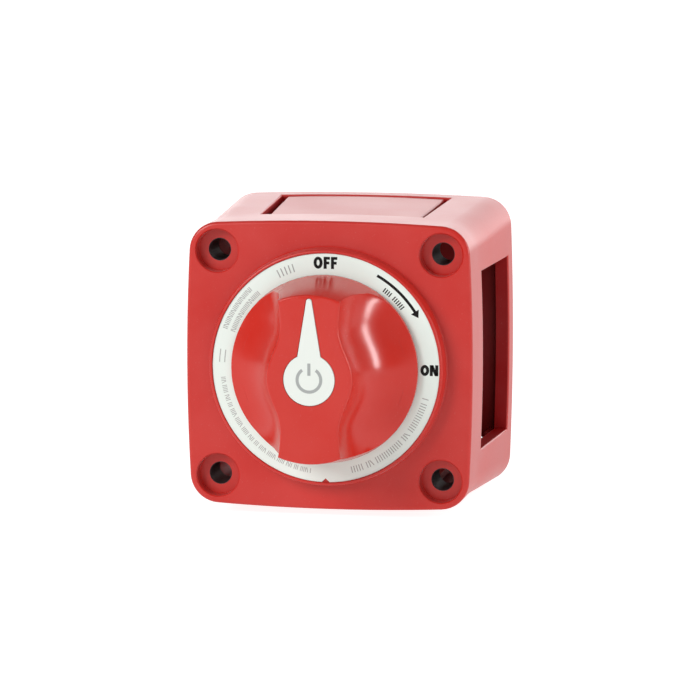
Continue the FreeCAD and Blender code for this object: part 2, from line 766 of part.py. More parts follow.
# ------------------------------------------------ contact base, terminals
def make_contact_base():
    body = new_body("contact_base")
    plate = new_sketch(body, "XY_Plane", BASE_FOOT)
    half = "front_half - wall_thick - base_gap"
    bowed_outline(plate, half, "front_bow_radius - wall_thick", "corner_radius - wall_thick")
    pad(body, plate, "base_thick")
    # fence between the two terminals
    fence = new_sketch(body, "XY_Plane", BASE_FOOT + " - fence_height")
    rectangle(fence, "-fence_half", "fence_half", "-fence_half_length", "fence_half_length")
    pad(body, fence, "fence_height + join_depth")
    notch = new_sketch(body, "XY_Plane", BASE_TOP)
    circle(notch, "corner_notch", "hole_spacing / 2", "hole_spacing / 2")
    screw = new_sketch(body, "XY_Plane", BASE_TOP)
    circle(screw, "base_screw_radius + stud_gap", "base_screw_offset", "base_screw_offset")
    four_times(body, pocket(body, notch, "base_thick + join_depth"),
               pocket(body, screw, "base_thick + join_depth"))
    studs = new_sketch(body, "XY_Plane", BASE_TOP)
    circle(studs, "stud_radius + stud_gap", "stud_offset", "0")
    circle(studs, "stud_radius + stud_gap", "-stud_offset", "0")
    pocket(body, studs, "base_thick + join_depth")
    pivot = new_sketch(body, "XY_Plane", BASE_TOP)
    circle(pivot, "pilot_radius + running_gap")
    pocket(body, pivot, "pilot_length + socket_gap")


def make_base_gasket():
    ring = cylinder("chamber_radius + chamber_wall - gasket_gap", "gasket_thick", BASE_TOP)
    bosses = [cylinder("base_boss_radius + running_gap", "gasket_thick", BASE_TOP, x, y)
              for x in ("base_screw_offset", "-base_screw_offset")
              for y in ("base_screw_offset", "-base_screw_offset")]
    inside = cylinder("chamber_radius + 2 * gasket_gap", "gasket_thick", BASE_TOP)
    # the seal stays clear of the housing's own walls
    room = doc.addObject("PartDesign::Body", "GasketRoom")
    edge = new_sketch(room, "XY_Plane", BASE_TOP)
    bowed_outline(edge, "front_half - wall_thick - gasket_gap", "front_bow_radius - wall_thick",
                  "corner_radius - wall_thick")
    pad(room, edge, "gasket_thick")
    piece(common(cut(ring, inside, *bosses), room), "base_gasket")


def make_base_screws():
    screws = []
    for x in ("base_screw_offset", "-base_screw_offset"):
        for y in ("base_screw_offset", "-base_screw_offset"):
            shank = cylinder("base_screw_radius - key_gap", "base_screw_length", BASE_FOOT, x, y)
            head_foot = "%s - base_screw_head_thick" % BASE_FOOT
            head = cone("base_screw_head * 0.8", "base_screw_head", "base_screw_head_thick",
                        head_foot, x, y)
            slot = block("%s - base_screw_head" % x, "%s + base_screw_head" % x,
                         "%s - 0.13 * base_screw_head" % y, "%s + 0.13 * base_screw_head" % y,
                         head_foot, "%s + 0.45 * base_screw_head_thick" % head_foot)
            screws.append(cut(fuse(shank, head), slot))
    piece(group(*screws), "base_screws")


def make_terminals():
    stud_foot = BASE_FOOT + " - stud_reach"
    seals, tips, flats, locks, nuts = [], [], [], [], []
    for x, label in (("stud_offset", "terminal_stud_right"), ("-stud_offset", "terminal_stud_left")):
        nut_foot = BASE_FOOT + " - flat_washer_thick - lock_washer_thick - nut_thick"
        shank = cylinder("stud_radius - shank_relief", "%s - (%s)" % (HEAD_TOP, nut_foot), nut_foot, x)
        free_end = cylinder("stud_radius", "%s - (%s) - stud_lead" % (nut_foot, stud_foot),
                            stud_foot + " + stud_lead", x)
        lead = cone("stud_radius - stud_lead", "stud_radius", "stud_lead", stud_foot, x)
        head = cylinder("head_radius", "head_thick", HEAD_FOOT, x)
        piece(group(fuse(shank, free_end, lead, head)), label)
        seals.append(cut(cylinder("head_radius - 2 * stud_gap", "stud_seal_thick", BASE_TOP, x),
                         cylinder("stud_radius + running_gap", "stud_seal_thick", BASE_TOP, x)))
        tips.append(cylinder("tip_radius", "tip_thick", HEAD_TOP, x))
        flat_foot = BASE_FOOT + " - flat_washer_thick"
        flats.append(cut(cylinder("flat_washer_radius", "flat_washer_thick", flat_foot, x),
                         cylinder("stud_radius + 2 * stud_gap", "flat_washer_thick", flat_foot, x)))
        lock_foot = flat_foot + " - lock_washer_thick"
        slit = block("%s - lock_washer_slit / 2" % x, "%s + lock_washer_slit / 2" % x, "0",
                     "lock_washer_radius + lock_washer_slit", lock_foot, flat_foot)
        locks.append(cut(cylinder("lock_washer_radius", "lock_washer_thick", lock_foot, x),
                         cylinder("stud_radius + stud_gap", "lock_washer_thick", lock_foot, x), slit))
        corner = "(nut_flats / sqrt(3))"
        dome = fuse(cone("nut_face", corner, "nut_bevel", nut_foot, x),
                    cylinder(corner, "nut_thick - 2 * nut_bevel", nut_foot + " + nut_bevel", x),
                    cone(corner, "nut_face", "nut_bevel", lock_foot + " - nut_bevel", x))
        nuts.append(cut(common(hexagon("nut_flats", "nut_thick", nut_foot, x), dome),
                        cylinder("stud_radius + key_gap", "nut_thick", nut_foot, x)))
    piece(group(*seals), "stud_seals")
    piece(group(*tips), "stud_contacts")
    piece(group(*flats), "flat_washers")
    piece(group(*locks), "lock_washers")
    piece(group(*nuts), "terminal_nuts")


# ------------------------------------------------- rear cover, port blanks
def make_rear_cover():
    body = new_body("rear_cover")
    plate = new_sketch(body, "XY_Plane")
    half = "%s - wall_thick - cover_gap" % flare("cover_thick")
    bowed_outline(plate, half, "rear_bow_radius - wall_thick", "corner_radius - wall_thick")
    pad(body, plate, "cover_thick")
    ribs = new_sketch(body, "XY_Plane", "cover_thick")
    for low in ("-cover_rib_spacing - cover_rib_width / 2", "-cover_rib_width / 2",
                "cover_rib_spacing - cover_rib_width / 2"):
        rectangle(ribs, "-cover_rib_half", "cover_rib_half", low, low + " + cover_rib_width")
    pad(body, ribs, "cover_rib_height")
    # snap tongues beside the ports, and clearance holes for the mounting screws
    tongue = new_sketch(body, "XY_Plane", "cover_thick")
    tip = flare("cover_thick + tongue_depth")
    edge = "%s - wall_thick - cover_gap - tongue_relief" % tip
    for low in ("side_port_half + tongue_port_gap", "-side_port_half - tongue_port_gap - tongue_width"):
        rectangle(tongue, "%s - tongue_thick" % edge, edge, low, low + " + tongue_width")
    hole = new_sketch(body, "XY_Plane", "cover_thick")
    circle(hole, "cover_hole_radius", "hole_spacing / 2", "hole_spacing / 2")
    four_times(body, pocket(body, hole, "cover_thick + join_depth"), pad(body, tongue, "tongue_depth"))


def make_port_blank(label, turn):
    """Panel that closes a port, with a flange behind the wall.

    It sits a little below the wall, more so at its front end.
    """
    body = new_body(label)
    ceiling = "(front_half - wall_thick - blank_seat_gap)"
    ends = [("port_rear + blank_end_gap", "end_port_rear_half", "blank_rear_recess"),
            (BAND_FOOT + " - blank_end_gap", "end_port_front_half", "blank_front_recess")]
    sections = []
    for height, port_half, recess in ends:
        sketch = new_sketch(body, "XY_Plane", height)
        half = "(%s - blank_gap)" % port_half
        drop = "(front_bow_radius - sqrt(front_bow_radius ^ 2 - %s ^ 2))" % half
        top = "(%s - %s - %s)" % (flare(height), recess, drop)
        foot = "(%s - blank_overlap)" % ceiling
        loop(sketch, [(half, foot), (half, top), ("-" + half, top, "front_bow_radius", "left"),
                      ("-" + half, foot)])
        sections.append(sketch)
    loft(body, sections)
    flange = new_sketch(body, "XY_Plane", "port_rear + blank_end_gap")
    reach = "(end_port_rear_half + flange_margin)"
    rectangle(flange, "-" + reach, reach, "%s - flange_thick" % ceiling, ceiling)
    pad(body, flange, "%s - port_rear - blank_end_gap - screw_head_room" % BAND_FOOT)
    body.Placement = FRONT.multiply(Placement(Vector(0, 0, 0), Rotation(Vector(0, 0, 1), turn)))


make_case()
make_dial_label()
make_knob()
make_pointer()
make_knob_screw()
make_rotor_shaft()
make_shaft_seal()
make_thrust_washer()
make_detent_cam()
make_detent_springs()
make_contact_carrier()
make_contact_bridge()
make_contact_springs()
make_contact_base()
make_base_gasket()
make_base_screws()
make_terminals()
make_rear_cover()
make_port_blank("port_blank_top", 0)
make_port_blank("port_blank_bottom", 180)

doc.recompute()
for thing in doc.Objects:
    faults = [state for state in thing.State if state in ("Invalid", "Error")]
    if faults:
        raise RuntimeError("%s (%s): %s" % (thing.Name, thing.Label, ", ".join(faults)))
for thing in pieces:
    if thing.Shape.isNull() or not thing.Shape.isValid() or not thing.Shape.Solids:
        raise RuntimeError("%s has no valid solid" % thing.Label)

os.makedirs("parts", exist_ok=True)
for thing in pieces:
    thing.Shape.exportStep(os.path.join("parts", thing.Label + ".step"))
    print("%-22s %2d solid(s) %9.1f mm3" % (thing.Label, len(thing.Shape.Solids), thing.Shape.Volume))
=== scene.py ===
"""Battery switch: red moulded housing, S-shaped knob and printed dial, in a pale studio.

Pieces are shaped in millimetres in the switch's working frame (x right, y up, z out of
the panel towards the user, z = 0 on the mounting plane), then turned into the row frame.
"""

import math

import bmesh
import bpy
from mathutils import Matrix, Vector


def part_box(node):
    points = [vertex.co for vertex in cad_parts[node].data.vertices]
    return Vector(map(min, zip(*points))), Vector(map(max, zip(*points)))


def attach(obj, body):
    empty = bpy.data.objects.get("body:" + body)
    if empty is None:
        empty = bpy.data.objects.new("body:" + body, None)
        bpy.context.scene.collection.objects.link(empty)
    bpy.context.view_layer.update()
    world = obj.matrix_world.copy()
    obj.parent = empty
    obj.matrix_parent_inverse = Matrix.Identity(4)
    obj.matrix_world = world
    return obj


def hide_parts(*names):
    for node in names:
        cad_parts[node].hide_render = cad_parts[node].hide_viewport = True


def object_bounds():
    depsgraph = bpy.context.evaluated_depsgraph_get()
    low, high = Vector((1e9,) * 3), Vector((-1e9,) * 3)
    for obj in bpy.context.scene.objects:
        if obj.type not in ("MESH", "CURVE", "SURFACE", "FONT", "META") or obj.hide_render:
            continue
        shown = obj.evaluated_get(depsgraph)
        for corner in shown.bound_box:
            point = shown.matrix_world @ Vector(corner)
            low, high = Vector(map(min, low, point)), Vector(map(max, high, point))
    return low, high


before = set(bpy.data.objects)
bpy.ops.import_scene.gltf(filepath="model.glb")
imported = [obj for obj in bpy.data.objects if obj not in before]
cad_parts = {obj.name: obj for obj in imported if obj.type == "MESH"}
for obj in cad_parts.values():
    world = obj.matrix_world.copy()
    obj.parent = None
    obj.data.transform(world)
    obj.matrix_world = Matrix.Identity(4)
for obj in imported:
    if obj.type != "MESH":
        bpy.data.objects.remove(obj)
cad_low, cad_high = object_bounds()

TO_ROW = Matrix.Rotation(math.pi / 2, 4, "X") @ Matrix.Scale(0.001, 4)
FULL_TURN = 2 * math.pi


def reach(node):
    """A CAD node's lowest and highest corners in the working frame, in millimetres."""
    low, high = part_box(node)
    return Vector((low.x, low.z, -high.y)) * 1000, Vector((high.x, high.z, -low.y)) * 1000


# ------------------------------------------------------------------ sizes, mm
DEPTH = 52.0                    # mounting plane to front face
BAND_FOOT = 36.4                # the walls flare behind this height
FRONT_HALF, REAR_HALF = 33.3, 34.8
FRONT_BOW, REAR_BOW = 478.0, 690.0
CORNER = 6.8
WALL = 3.2
FACE_BACK = 44.4
FRONT_ROUND = 0.8
REAR_ROUND = 0.35
HOLE_SPACING = 52.0
HOLE_CENTRES = [(x * HOLE_SPACING / 2, y * HOLE_SPACING / 2) for x in (1, -1) for y in (1, -1)]
SCREW_HOLE, COUNTERBORE, COUNTERBORE_DEPTH = 2.65, 4.93, 3.2
PORT_REAR = 5.0
SIDE_PORT = 20.7                # half length of the open ports
END_PORT_FRONT, END_PORT_REAR = 19.2, 20.4
PORT_EDGE = 0.4
EDGE_BREAK = 0.25               # chamfer round the counterbores and at the foot of the dial seat
SLEEVE_REACH, SLEEVE_THICK, SLEEVE_GAP, SLEEVE_SETBACK = 6.0, 0.13, 0.01, 0.02
COVER_GAP, COVER_THICK, COVER_HOLE, COVER_RECESS = 0.35, 2.2, 3.2, 23.5
COVER_ROUND, COVER_HOLE_BREAK, MOULD_EDGE = 0.2, 0.35, 0.15
RIB_HALF_LENGTH, RIB_HALF_WIDTH, RIB_HEIGHT, RIB_SPACING = 17, 0.6, 1.2, 8.4
TONGUE_HEIGHT, TONGUE_THICK, TONGUE_WIDE, TONGUE_PORT_GAP, TONGUE_RELIEF = 9, 1.0, 2.2, 0.3, 0.4
ROOTED = 0.05                   # how far ribs and tongues run into the plate
LABEL_TOP = reach("dial_label")[1].z
LABEL_FOOT = reach("dial_label")[0].z
LABEL_RADIUS, LABEL_BORE, LABEL_NOTCH = 26.3, 12.0, 0.9
LABEL_GAP, SEAT_LEAD, SEAT_LEAD_DEPTH = 0.06, 0.2, 0.12
BOSS_RADIUS, BOSS_LIP, BOSS_TOP = 27.4, 27.05, 55.85
BOSS_ROUND = [(0.03, 0.34), (-0.03, 0.16), (-0.14, 0.05), (-0.30, 0.0)]     # out, down
COLLAR_RADIUS, COLLAR_TOP = 9.0, 57.96
CHAMBER_RADIUS, CHAMBER_WALL, CHAMBER_FOOT, ROOF = 24.0, 2.0, 41.7, 51.61
SHAFT_BORE = 6.05
KNOB_FOOT = reach("knob")[0].z
KNOB_TOP = reach("knob")[1].z
KNOB_WIDE, KNOB_NARROW = 21.6, 19.1
KNOB_EDGE, KNOB_ROUND = 1.2, 0.45
HUB_BORE, HUB_RADIUS, HOLLOW_RADIUS, HOLLOW_DEPTH, HUB_DEPTH_GAP = 9.5, 11.6, 19.0, 2.8, 0.4
SCOOP_RADIUS, SCOOP_LIP = 18.9, 1.6
SCOOP_STRAIGHT, SCOOP_END, RIM_ROUND = 13.8, 4.4, 0.22
GRIP_MIDDLE, GRIP_WAIST, GRIP_FLARE, GRIP_BULGE = 9.8, 6.6, 0.9, 12.0
POINTER_DISC, POINTER_TIP, POINTER_NECK, POINTER_TIP_HALF = 5.85, 18.3, 2.66, 0.6
POINTER_DEEP, POINTER_SETBACK, POINTER_ROUND = 0.9, 0.04, 0.1
POCKET_GAP, POCKET_DEEPER = 0.11, 0.05
SIGN_INNER, SIGN_OUTER, SIGN_BAR_HALF, SIGN_BAR_LOW, SIGN_BAR_HIGH = 2.35, 3.05, 0.35, 1.0, 3.75
THREAD_PITCH, THREAD_ROOT, THREAD_CREST, CREST_ROUND = 1.5875, 4.12, 4.74, 0.06
SHANK_RADIUS, HEAD_RADIUS, HEAD_THICK, HEAD_ROUND = 4.5, 7.0, 1.5, 0.2
BLANK_GAP, BLANK_SIDE_GAP, BLANK_ROUND, BLANK_OVERLAP = 0.35, 1.45, 0.45, 0.2
BLANK_SINK, BLANK_SINK_MORE = 0.25, 0.7             # below the wall at its rear, and added in front
FLANGE_GAP, FLANGE_THICK, FLANGE_REACH, FLANGE_ROUND = 0.9, 1.8, 2.4, 0.3
BORE_STEPS, DIAL_STEPS = 48, 160
ON_WALL = 28                    # only the walls lie further out than this
NEAR = 1e-3


# ------------------------------------------------------------------ shader groups
def new_group(name, inputs, outputs):
    """An empty shader node group with typed sockets; returns it with its two ends."""
    group = bpy.data.node_groups.new(name, "ShaderNodeTree")
    for label, kind, default in inputs:
        socket = group.interface.new_socket(label, in_out="INPUT", socket_type=kind)
        socket.default_value = default
    for label, kind in outputs:
        group.interface.new_socket(label, in_out="OUTPUT", socket_type=kind)
    return group, group.nodes.new("NodeGroupInput"), group.nodes.new("NodeGroupOutput")


def wire(tree, *pairs):
    for source, target in pairs:
        tree.links.new(source, target)


def noise(tree, vector, scale, detail, rough=0.5):
    node = tree.nodes.new("ShaderNodeTexNoise")
    node.inputs["Scale"].default_value = scale
    node.inputs["Detail"].default_value = detail
    node.inputs["Roughness"].default_value = rough
    tree.links.new(vector, node.inputs["Vector"])
    return node.outputs["Fac"]


def stretch(tree, vector, scale, turn=(0, 0, 0)):
    node = tree.nodes.new("ShaderNodeMapping")
    node.inputs["Scale"].default_value = scale
    node.inputs["Rotation"].default_value = turn
    tree.links.new(vector, node.inputs["Vector"])
    return node.outputs["Vector"]


def remap(tree, value, low, high, to_low=0.0, to_high=1.0):
    node = tree.nodes.new("ShaderNodeMapRange")
    node.inputs["From Min"].default_value = low
    node.inputs["From Max"].default_value = high
    node.inputs["To Min"].default_value = to_low
    node.inputs["To Max"].default_value = to_high
    tree.links.new(value, node.inputs["Value"])
    return node.outputs["Result"]


def maths(tree, operation, first, second):
    node = tree.nodes.new("ShaderNodeMath")
    node.operation = operation
    for socket, value in zip(node.inputs, (first, second)):
        if isinstance(value, (int, float)):
            socket.default_value = value
        else:
            tree.links.new(value, socket)
    return node.outputs["Value"]


def blend(tree, kind, factor, first, second):
    """A colour mix; every argument may be a socket or a plain value."""
    node = tree.nodes.new("ShaderNodeMix")
    node.data_type = "RGBA"
    node.blend_type = kind
    sockets = (node.inputs[0], node.inputs[6], node.inputs[7])
    for socket, value in zip(sockets, (factor, first, second)):
        if isinstance(value, bpy.types.NodeSocket):
            tree.links.new(value, socket)
        else:
            socket.default_value = value
    return node.outputs[2]


SURFACE_OUTPUTS = [("Color", "NodeSocketColor"), ("Roughness", "NodeSocketFloat"),
                   ("Height", "NodeSocketFloat")]


def make_moulded_group():
    """Injection-moulded plastic: cloudy tone, fine grain, faint rubs and specks of dust."""
    group, start, end = new_group(
        "moulded_plastic",
        [("Position", "NodeSocketVector", (0, 0, 0)), ("Tone", "NodeSocketColor", (1, 1, 1, 1)),
         ("Gloss Roughness", "NodeSocketFloat", 0.35), ("Cloud", "NodeSocketFloat", 0.06),
         ("Dust", "NodeSocketFloat", 0.03)],
        SURFACE_OUTPUTS)
    place = start.outputs["Position"]
    cloud = noise(group, place, 55, 4)
    grain = noise(group, place, 3800, 2, 0.6)
    rubs = noise(group, stretch(group, place, (300, 4200, 900), (0.3, 0.5, 0.7)), 1, 3, 0.7)
    specks = remap(group, noise(group, place, 2300, 1), 0.70, 0.76)
    shade = remap(group, cloud, 0.3, 0.7, -1, 1)
    darker = blend(group, "MULTIPLY", 1.0, start.outputs["Tone"], (0.90, 0.86, 0.86, 1))
    lighter = blend(group, "MIX", 0.06, start.outputs["Tone"], (1, 0.9, 0.88, 1))
    cloudy = maths(group, "MULTIPLY", maths(group, "ADD", shade, 1.0), 0.5)
    ranged = blend(group, "MIX", cloudy, darker, lighter)
    toned = blend(group, "MIX", maths(group, "MULTIPLY", start.outputs["Cloud"], 10.0),
                  start.outputs["Tone"], ranged)
    dusty = blend(group, "MIX", maths(group, "MULTIPLY", specks, start.outputs["Dust"]),
                  toned, (0.8, 0.78, 0.76, 1))
    rub_mask = remap(group, rubs, 0.58, 0.72)
    worn = maths(group, "ADD", start.outputs["Gloss Roughness"],
                 maths(group, "MULTIPLY", shade, 0.03))
    rubbed = maths(group, "ADD", worn, maths(group, "MULTIPLY", rub_mask, 0.05))
    wire(group, (dusty, end.inputs["Color"]), (rubbed, end.inputs["Roughness"]),
         (grain, end.inputs["Height"]))
    return group


def make_metal_group():
    """Turned or plated metal: tool lines round the part, stains and a little scatter."""
    group, start, end = new_group(
        "worked_metal",
        [("Position", "NodeSocketVector", (0, 0, 0)), ("Tone", "NodeSocketColor", (1, 1, 1, 1)),
         ("Tarnish Tone", "NodeSocketColor", (0.3, 0.3, 0.3, 1)),
         ("Polish Roughness", "NodeSocketFloat", 0.25), ("Tarnish", "NodeSocketFloat", 0.3)],
        SURFACE_OUTPUTS)
    place = start.outputs["Position"]
    lines = noise(group, stretch(group, place, (900, 9000, 900)), 1, 2)
    stain = remap(group, noise(group, place, 260, 5, 0.65), 0.45, 0.75)
    masked = maths(group, "MULTIPLY", stain, start.outputs["Tarnish"])
    toned = blend(group, "MIX", masked, start.outputs["Tone"], start.outputs["Tarnish Tone"])
    uneven = maths(group, "ADD", start.outputs["Polish Roughness"],
                   maths(group, "MULTIPLY", lines, 0.12))
    stained = maths(group, "ADD", uneven, maths(group, "MULTIPLY", masked, 0.3))
    wire(group, (toned, end.inputs["Color"]), (stained, end.inputs["Roughness"]),
         (lines, end.inputs["Height"]))
    return group


MOULDED = make_moulded_group()
METAL = make_metal_group()


def material(name, group, values, relief, **constants):
    """A Principled material fed by a group; constants go on the shader's own sockets."""
    made = bpy.data.materials.new(name)
    made.use_nodes = True
    tree = made.node_tree
    shader = tree.nodes["Principled BSDF"]
    effect = tree.nodes.new("ShaderNodeGroup")
    effect.node_tree = group
    place = tree.nodes.new("ShaderNodeTexCoord")
    bump = tree.nodes.new("ShaderNodeBump")
    bump.inputs["Distance"].default_value = relief
    bump.inputs["Strength"].default_value = 0.6
    for label, value in values.items():
        effect.inputs[label].default_value = value
    wire(tree, (place.outputs["Object"], effect.inputs["Position"]),
         (effect.outputs["Color"], shader.inputs["Base Color"]),
         (effect.outputs["Roughness"], shader.inputs["Roughness"]),
         (effect.outputs["Height"], bump.inputs["Height"]),
         (bump.outputs["Normal"], shader.inputs["Normal"]))
    for label, value in constants.items():
        shader.inputs[label.replace("_", " ")].default_value = value
    return made


def plastic(name, tone, roughness, relief=0.00001, cloud=0.04, dust=0.03, **constants):
    values = {"Tone": (*tone, 1), "Gloss Roughness": roughness, "Cloud": cloud, "Dust": dust}
    return material(name, MOULDED, values, relief, **constants)


METAL_RELIEF = 0.000004


def metal(name, tone, tarnish_tone, roughness, tarnish=0.3):
    values = {"Tone": (*tone, 1), "Tarnish Tone": (*tarnish_tone, 1),
              "Polish Roughness": roughness, "Tarnish": tarnish}
    return material(name, METAL, values, METAL_RELIEF, Metallic=1.0)


FINISHES = {
    "housing_red": plastic("housing_red_satin", (0.550, 0.012, 0.005), 0.33,
                           Sheen_Weight=0.26, Sheen_Roughness=0.2),
    "knob_red": plastic("knob_red_gloss", (0.565, 0.013, 0.003), 0.21, 0.000006, cloud=0.03,
                        dust=0.02),
    "label_white": plastic("label_printed_white", (0.78, 0.89, 0.83), 0.38, 0.000004, 0.01, 0.02),
    "pointer_white": plastic("pointer_white_inlay", (0.76, 0.80, 0.75), 0.35, 0.000004, 0.01, 0.02),
    "rotor_nylon": plastic("rotor_natural_nylon", (0.62, 0.58, 0.47), 0.45),
    "base_black": plastic("base_black_glass_filled", (0.018, 0.018, 0.020), 0.5, 0.00002, 0.05,
                          0.10),
    "black_rubber": plastic("seal_black_rubber", (0.012, 0.012, 0.013), 0.7, 0.00002, 0.05, 0.15),
    "stainless_steel": metal("fastener_stainless", (0.60, 0.59, 0.57), (0.30, 0.27, 0.23), 0.22),
    "spring_steel": metal("spring_steel_wire", (0.42, 0.41, 0.40), (0.20, 0.15, 0.11), 0.28),
    "copper": metal("bridge_bare_copper", (0.80, 0.36, 0.20), (0.30, 0.11, 0.06), 0.28, 0.6),
    "tinned_copper": metal("stud_tinned_copper", (0.66, 0.62, 0.56), (0.38, 0.29, 0.20), 0.30, 0.5),
    "contact_silver": metal("contact_silver_face", (0.80, 0.79, 0.76), (0.35, 0.31, 0.27), 0.24),
}
# a darker, duller copy of the housing red: painted shade for the faces inside the housing and on
# the rear cover's inner side
INSIDE_PAINTED_SHADE_RED = plastic("housing_red_inside_painted_shade", (0.24, 0.003, 0.004), 0.55, Specular_IOR_Level=0.15)
# a red between the two: painted shade for the reveals round the ports
REVEAL_PAINTED_SHADE_RED = plastic("housing_red_reveal_painted_shade", (0.37, 0.002, 0.003), 0.5, Specular_IOR_Level=0.2)
INK = {
    "black": plastic("dial_ink_black", (0.002, 0.002, 0.002), 0.5, 0.000002, 0.02, 0.0,
                     Specular_IOR_Level=0.15),
    "grey": plastic("dial_ink_grey", (0.36, 0.38, 0.37), 0.45, 0.000002, 0.02, 0.01),
}


# ------------------------------------------------------------------ mesh helpers
MERGE = 1e-4                    # points closer than this are one


def ring(bm, spots, height):
    """A closed ring of edges through (x, y) spots at one height; returns its edges."""
    made = bmesh.ops.create_circle(bm, cap_ends=False, segments=len(spots), radius=1.0)["verts"]
    for vert, (x, y) in zip(made, spots):
        vert.co = (x, y, height)
    return list({edge for vert in made for edge in vert.link_edges})


def skin(bm, rings):
    """Faces between each ring and the next."""
    for low, high in zip(rings, rings[1:]):
        bmesh.ops.bridge_loops(bm, edges=low + high)


def lathe(bm, profile, steps=BORE_STEPS, centre=(0.0, 0.0)):
    """A full turn of a (radius, height) profile about an upright axis."""
    x, y = centre
    verts = [bm.verts.new((x + radius, y, height)) for radius, height in profile]
    edges = [bm.edges.new(pair) for pair in zip(verts, verts[1:])]
    bmesh.ops.spin(bm, geom=verts + edges, cent=(x, y, 0), axis=(0, 0, 1), angle=FULL_TURN,
                   steps=steps, use_merge=True)


def brick(bm, low, high, soften):
    """A box between two corners, its edges softened."""
    made = bmesh.ops.create_cube(bm, size=1.0)["verts"]
    low, high = Vector(low), Vector(high)
    bmesh.ops.scale(bm, verts=made, vec=high - low)
    bmesh.ops.translate(bm, verts=made, vec=(low + high) / 2)
    soften_edges(bm, list({edge for vert in made for edge in vert.link_edges}), soften, 2)


def soften_edges(bm, edges, size, segments=3):
    bmesh.ops.bevel(bm, geom=edges, offset=size, offset_type="OFFSET", segments=segments,
                    profile=0.5, affect="EDGES", clamp_overlap=True, material=-1)


def open_edges(bm, height):
    """Border edges that lie at one height."""
    return [edge for edge in bm.edges if edge.is_boundary
            and all(abs(vert.co.z - height) < MERGE for vert in edge.verts)]


def fill_level(bm, height, up=True):
    """Close a flat face at one height between its outer border and the holes in it."""
    bmesh.ops.triangle_fill(bm, use_beauty=True, edges=open_edges(bm, height),
                            normal=(0, 0, 1 if up else -1))


def finish_piece(name, bm, body, finish, nodes=(), sharp=32, ink=None):
    """Turn a bmesh into a piece in the row frame that rides on its body."""
    bmesh.ops.remove_doubles(bm, verts=bm.verts, dist=MERGE)
    bmesh.ops.recalc_face_normals(bm, faces=bm.faces)
    mesh = bpy.data.meshes.new(name)
    bm.to_mesh(mesh)
    bm.free()
    mesh.transform(TO_ROW)
    mesh.shade_smooth()
    mesh.set_sharp_from_angle(angle=math.radians(sharp))
    mesh.materials.append(INK[ink] if ink else FINISHES[finish])
    made = bpy.data.objects.new(name, mesh)
    bpy.context.scene.collection.objects.link(made)
    weigh = made.modifiers.new("face_weighted_normals", "WEIGHTED_NORMAL")
    weigh.keep_sharp = True
    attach(made, body)
    if nodes:
        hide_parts(*nodes)
    return made


# ------------------------------------------------------------------ housing
def flare(height, rear, front):
    """A size at some height: it runs from rear to front, then stays along the band."""
    return rear + (front - rear) * min(height / BAND_FOOT, 1.0)


def end_port_half(height):
    """Half length of the top and bottom ports, which narrow towards the front."""
    share = min(max((height - PORT_REAR) / (BAND_FOOT - PORT_REAR), 0.0), 1.0)
    return END_PORT_REAR + (END_PORT_FRONT - END_PORT_REAR) * share


CORNER_STEPS, PORT_COLUMNS = 10, 4


def bowed_spots(height, inset):
    """The housing's outline at a height, as one ring of spots, anticlockwise.

    Every side has columns at the edges of its port, so that a port is whole faces.
    """
    half = flare(height, REAR_HALF, FRONT_HALF) - inset
    bow = flare(height, REAR_BOW, FRONT_BOW) - inset
    corner = CORNER - inset
    end_port = end_port_half(height)
    rise = bow - half
    middle = (math.sqrt(2 * (bow - corner) ** 2 - rise ** 2) - rise) / 2
    first = math.atan2(middle, middle + rise)
    meet = middle + corner * math.sin(first)
    spots = []
    for quarter in range(4):
        port = SIDE_PORT if quarter % 2 == 0 else end_port
        along = [port * k / PORT_COLUMNS for k in range(-PORT_COLUMNS, PORT_COLUMNS + 1)]
        along.append((port + meet) / 2)
        side = [(math.sqrt(bow ** 2 - s ** 2) - rise, s) for s in along]
        turn = [first + (math.pi / 2 - 2 * first) * k / CORNER_STEPS
                for k in range(CORNER_STEPS + 1)]
        side += [(middle + corner * math.cos(a), middle + corner * math.sin(a)) for a in turn]
        next_port = end_port if quarter % 2 == 0 else SIDE_PORT
        flank = (next_port + meet) / 2
        side.append((flank, math.sqrt(bow ** 2 - flank ** 2) - rise))
        angle = quarter * math.pi / 2
        spots += [(x * math.cos(angle) - y * math.sin(angle),
                   x * math.sin(angle) + y * math.cos(angle)) for x, y in side]
    return spots


def in_port(point):
    """Which port a point on the walls lies in, edges included, or None."""
    if not PORT_REAR - NEAR < point.z < BAND_FOOT + NEAR:
        return None
    if abs(point.y) < SIDE_PORT + NEAR and abs(point.x) > ON_WALL:
        return "right" if point.x > 0 else "left"
    if abs(point.x) < end_port_half(point.z) + NEAR and abs(point.y) > ON_WALL:
        return "top" if point.y > 0 else "bottom"
    return None


def open_ports(bm):
    """Take the port faces out of both skins and join the two borders across the wall."""
    faces = [face for face in bm.faces if in_port(face.calc_center_median())
             and all(in_port(vert.co) for vert in face.verts)]
    bmesh.ops.delete(bm, geom=faces, context="FACES")
    rims = {}
    for edge in bm.edges:
        port = in_port((edge.verts[0].co + edge.verts[1].co) / 2)
        if port and edge.is_boundary:
            rims.setdefault(port, []).append(edge)
    outer = []
    for edges in rims.values():
        outer += [edge for edge in edges if on_outer_skin(edge)]
        bmesh.ops.bridge_loops(bm, edges=edges)
    soften_edges(bm, outer, PORT_EDGE, 3)


def on_outer_skin(edge):
    """Whether an edge of a port lies on the outside of the wall."""
    middle = (edge.verts[0].co + edge.verts[1].co) / 2
    across = max(abs(middle.x), abs(middle.y))
    return across > flare(middle.z, REAR_HALF, FRONT_HALF) - WALL / 2 - 0.6


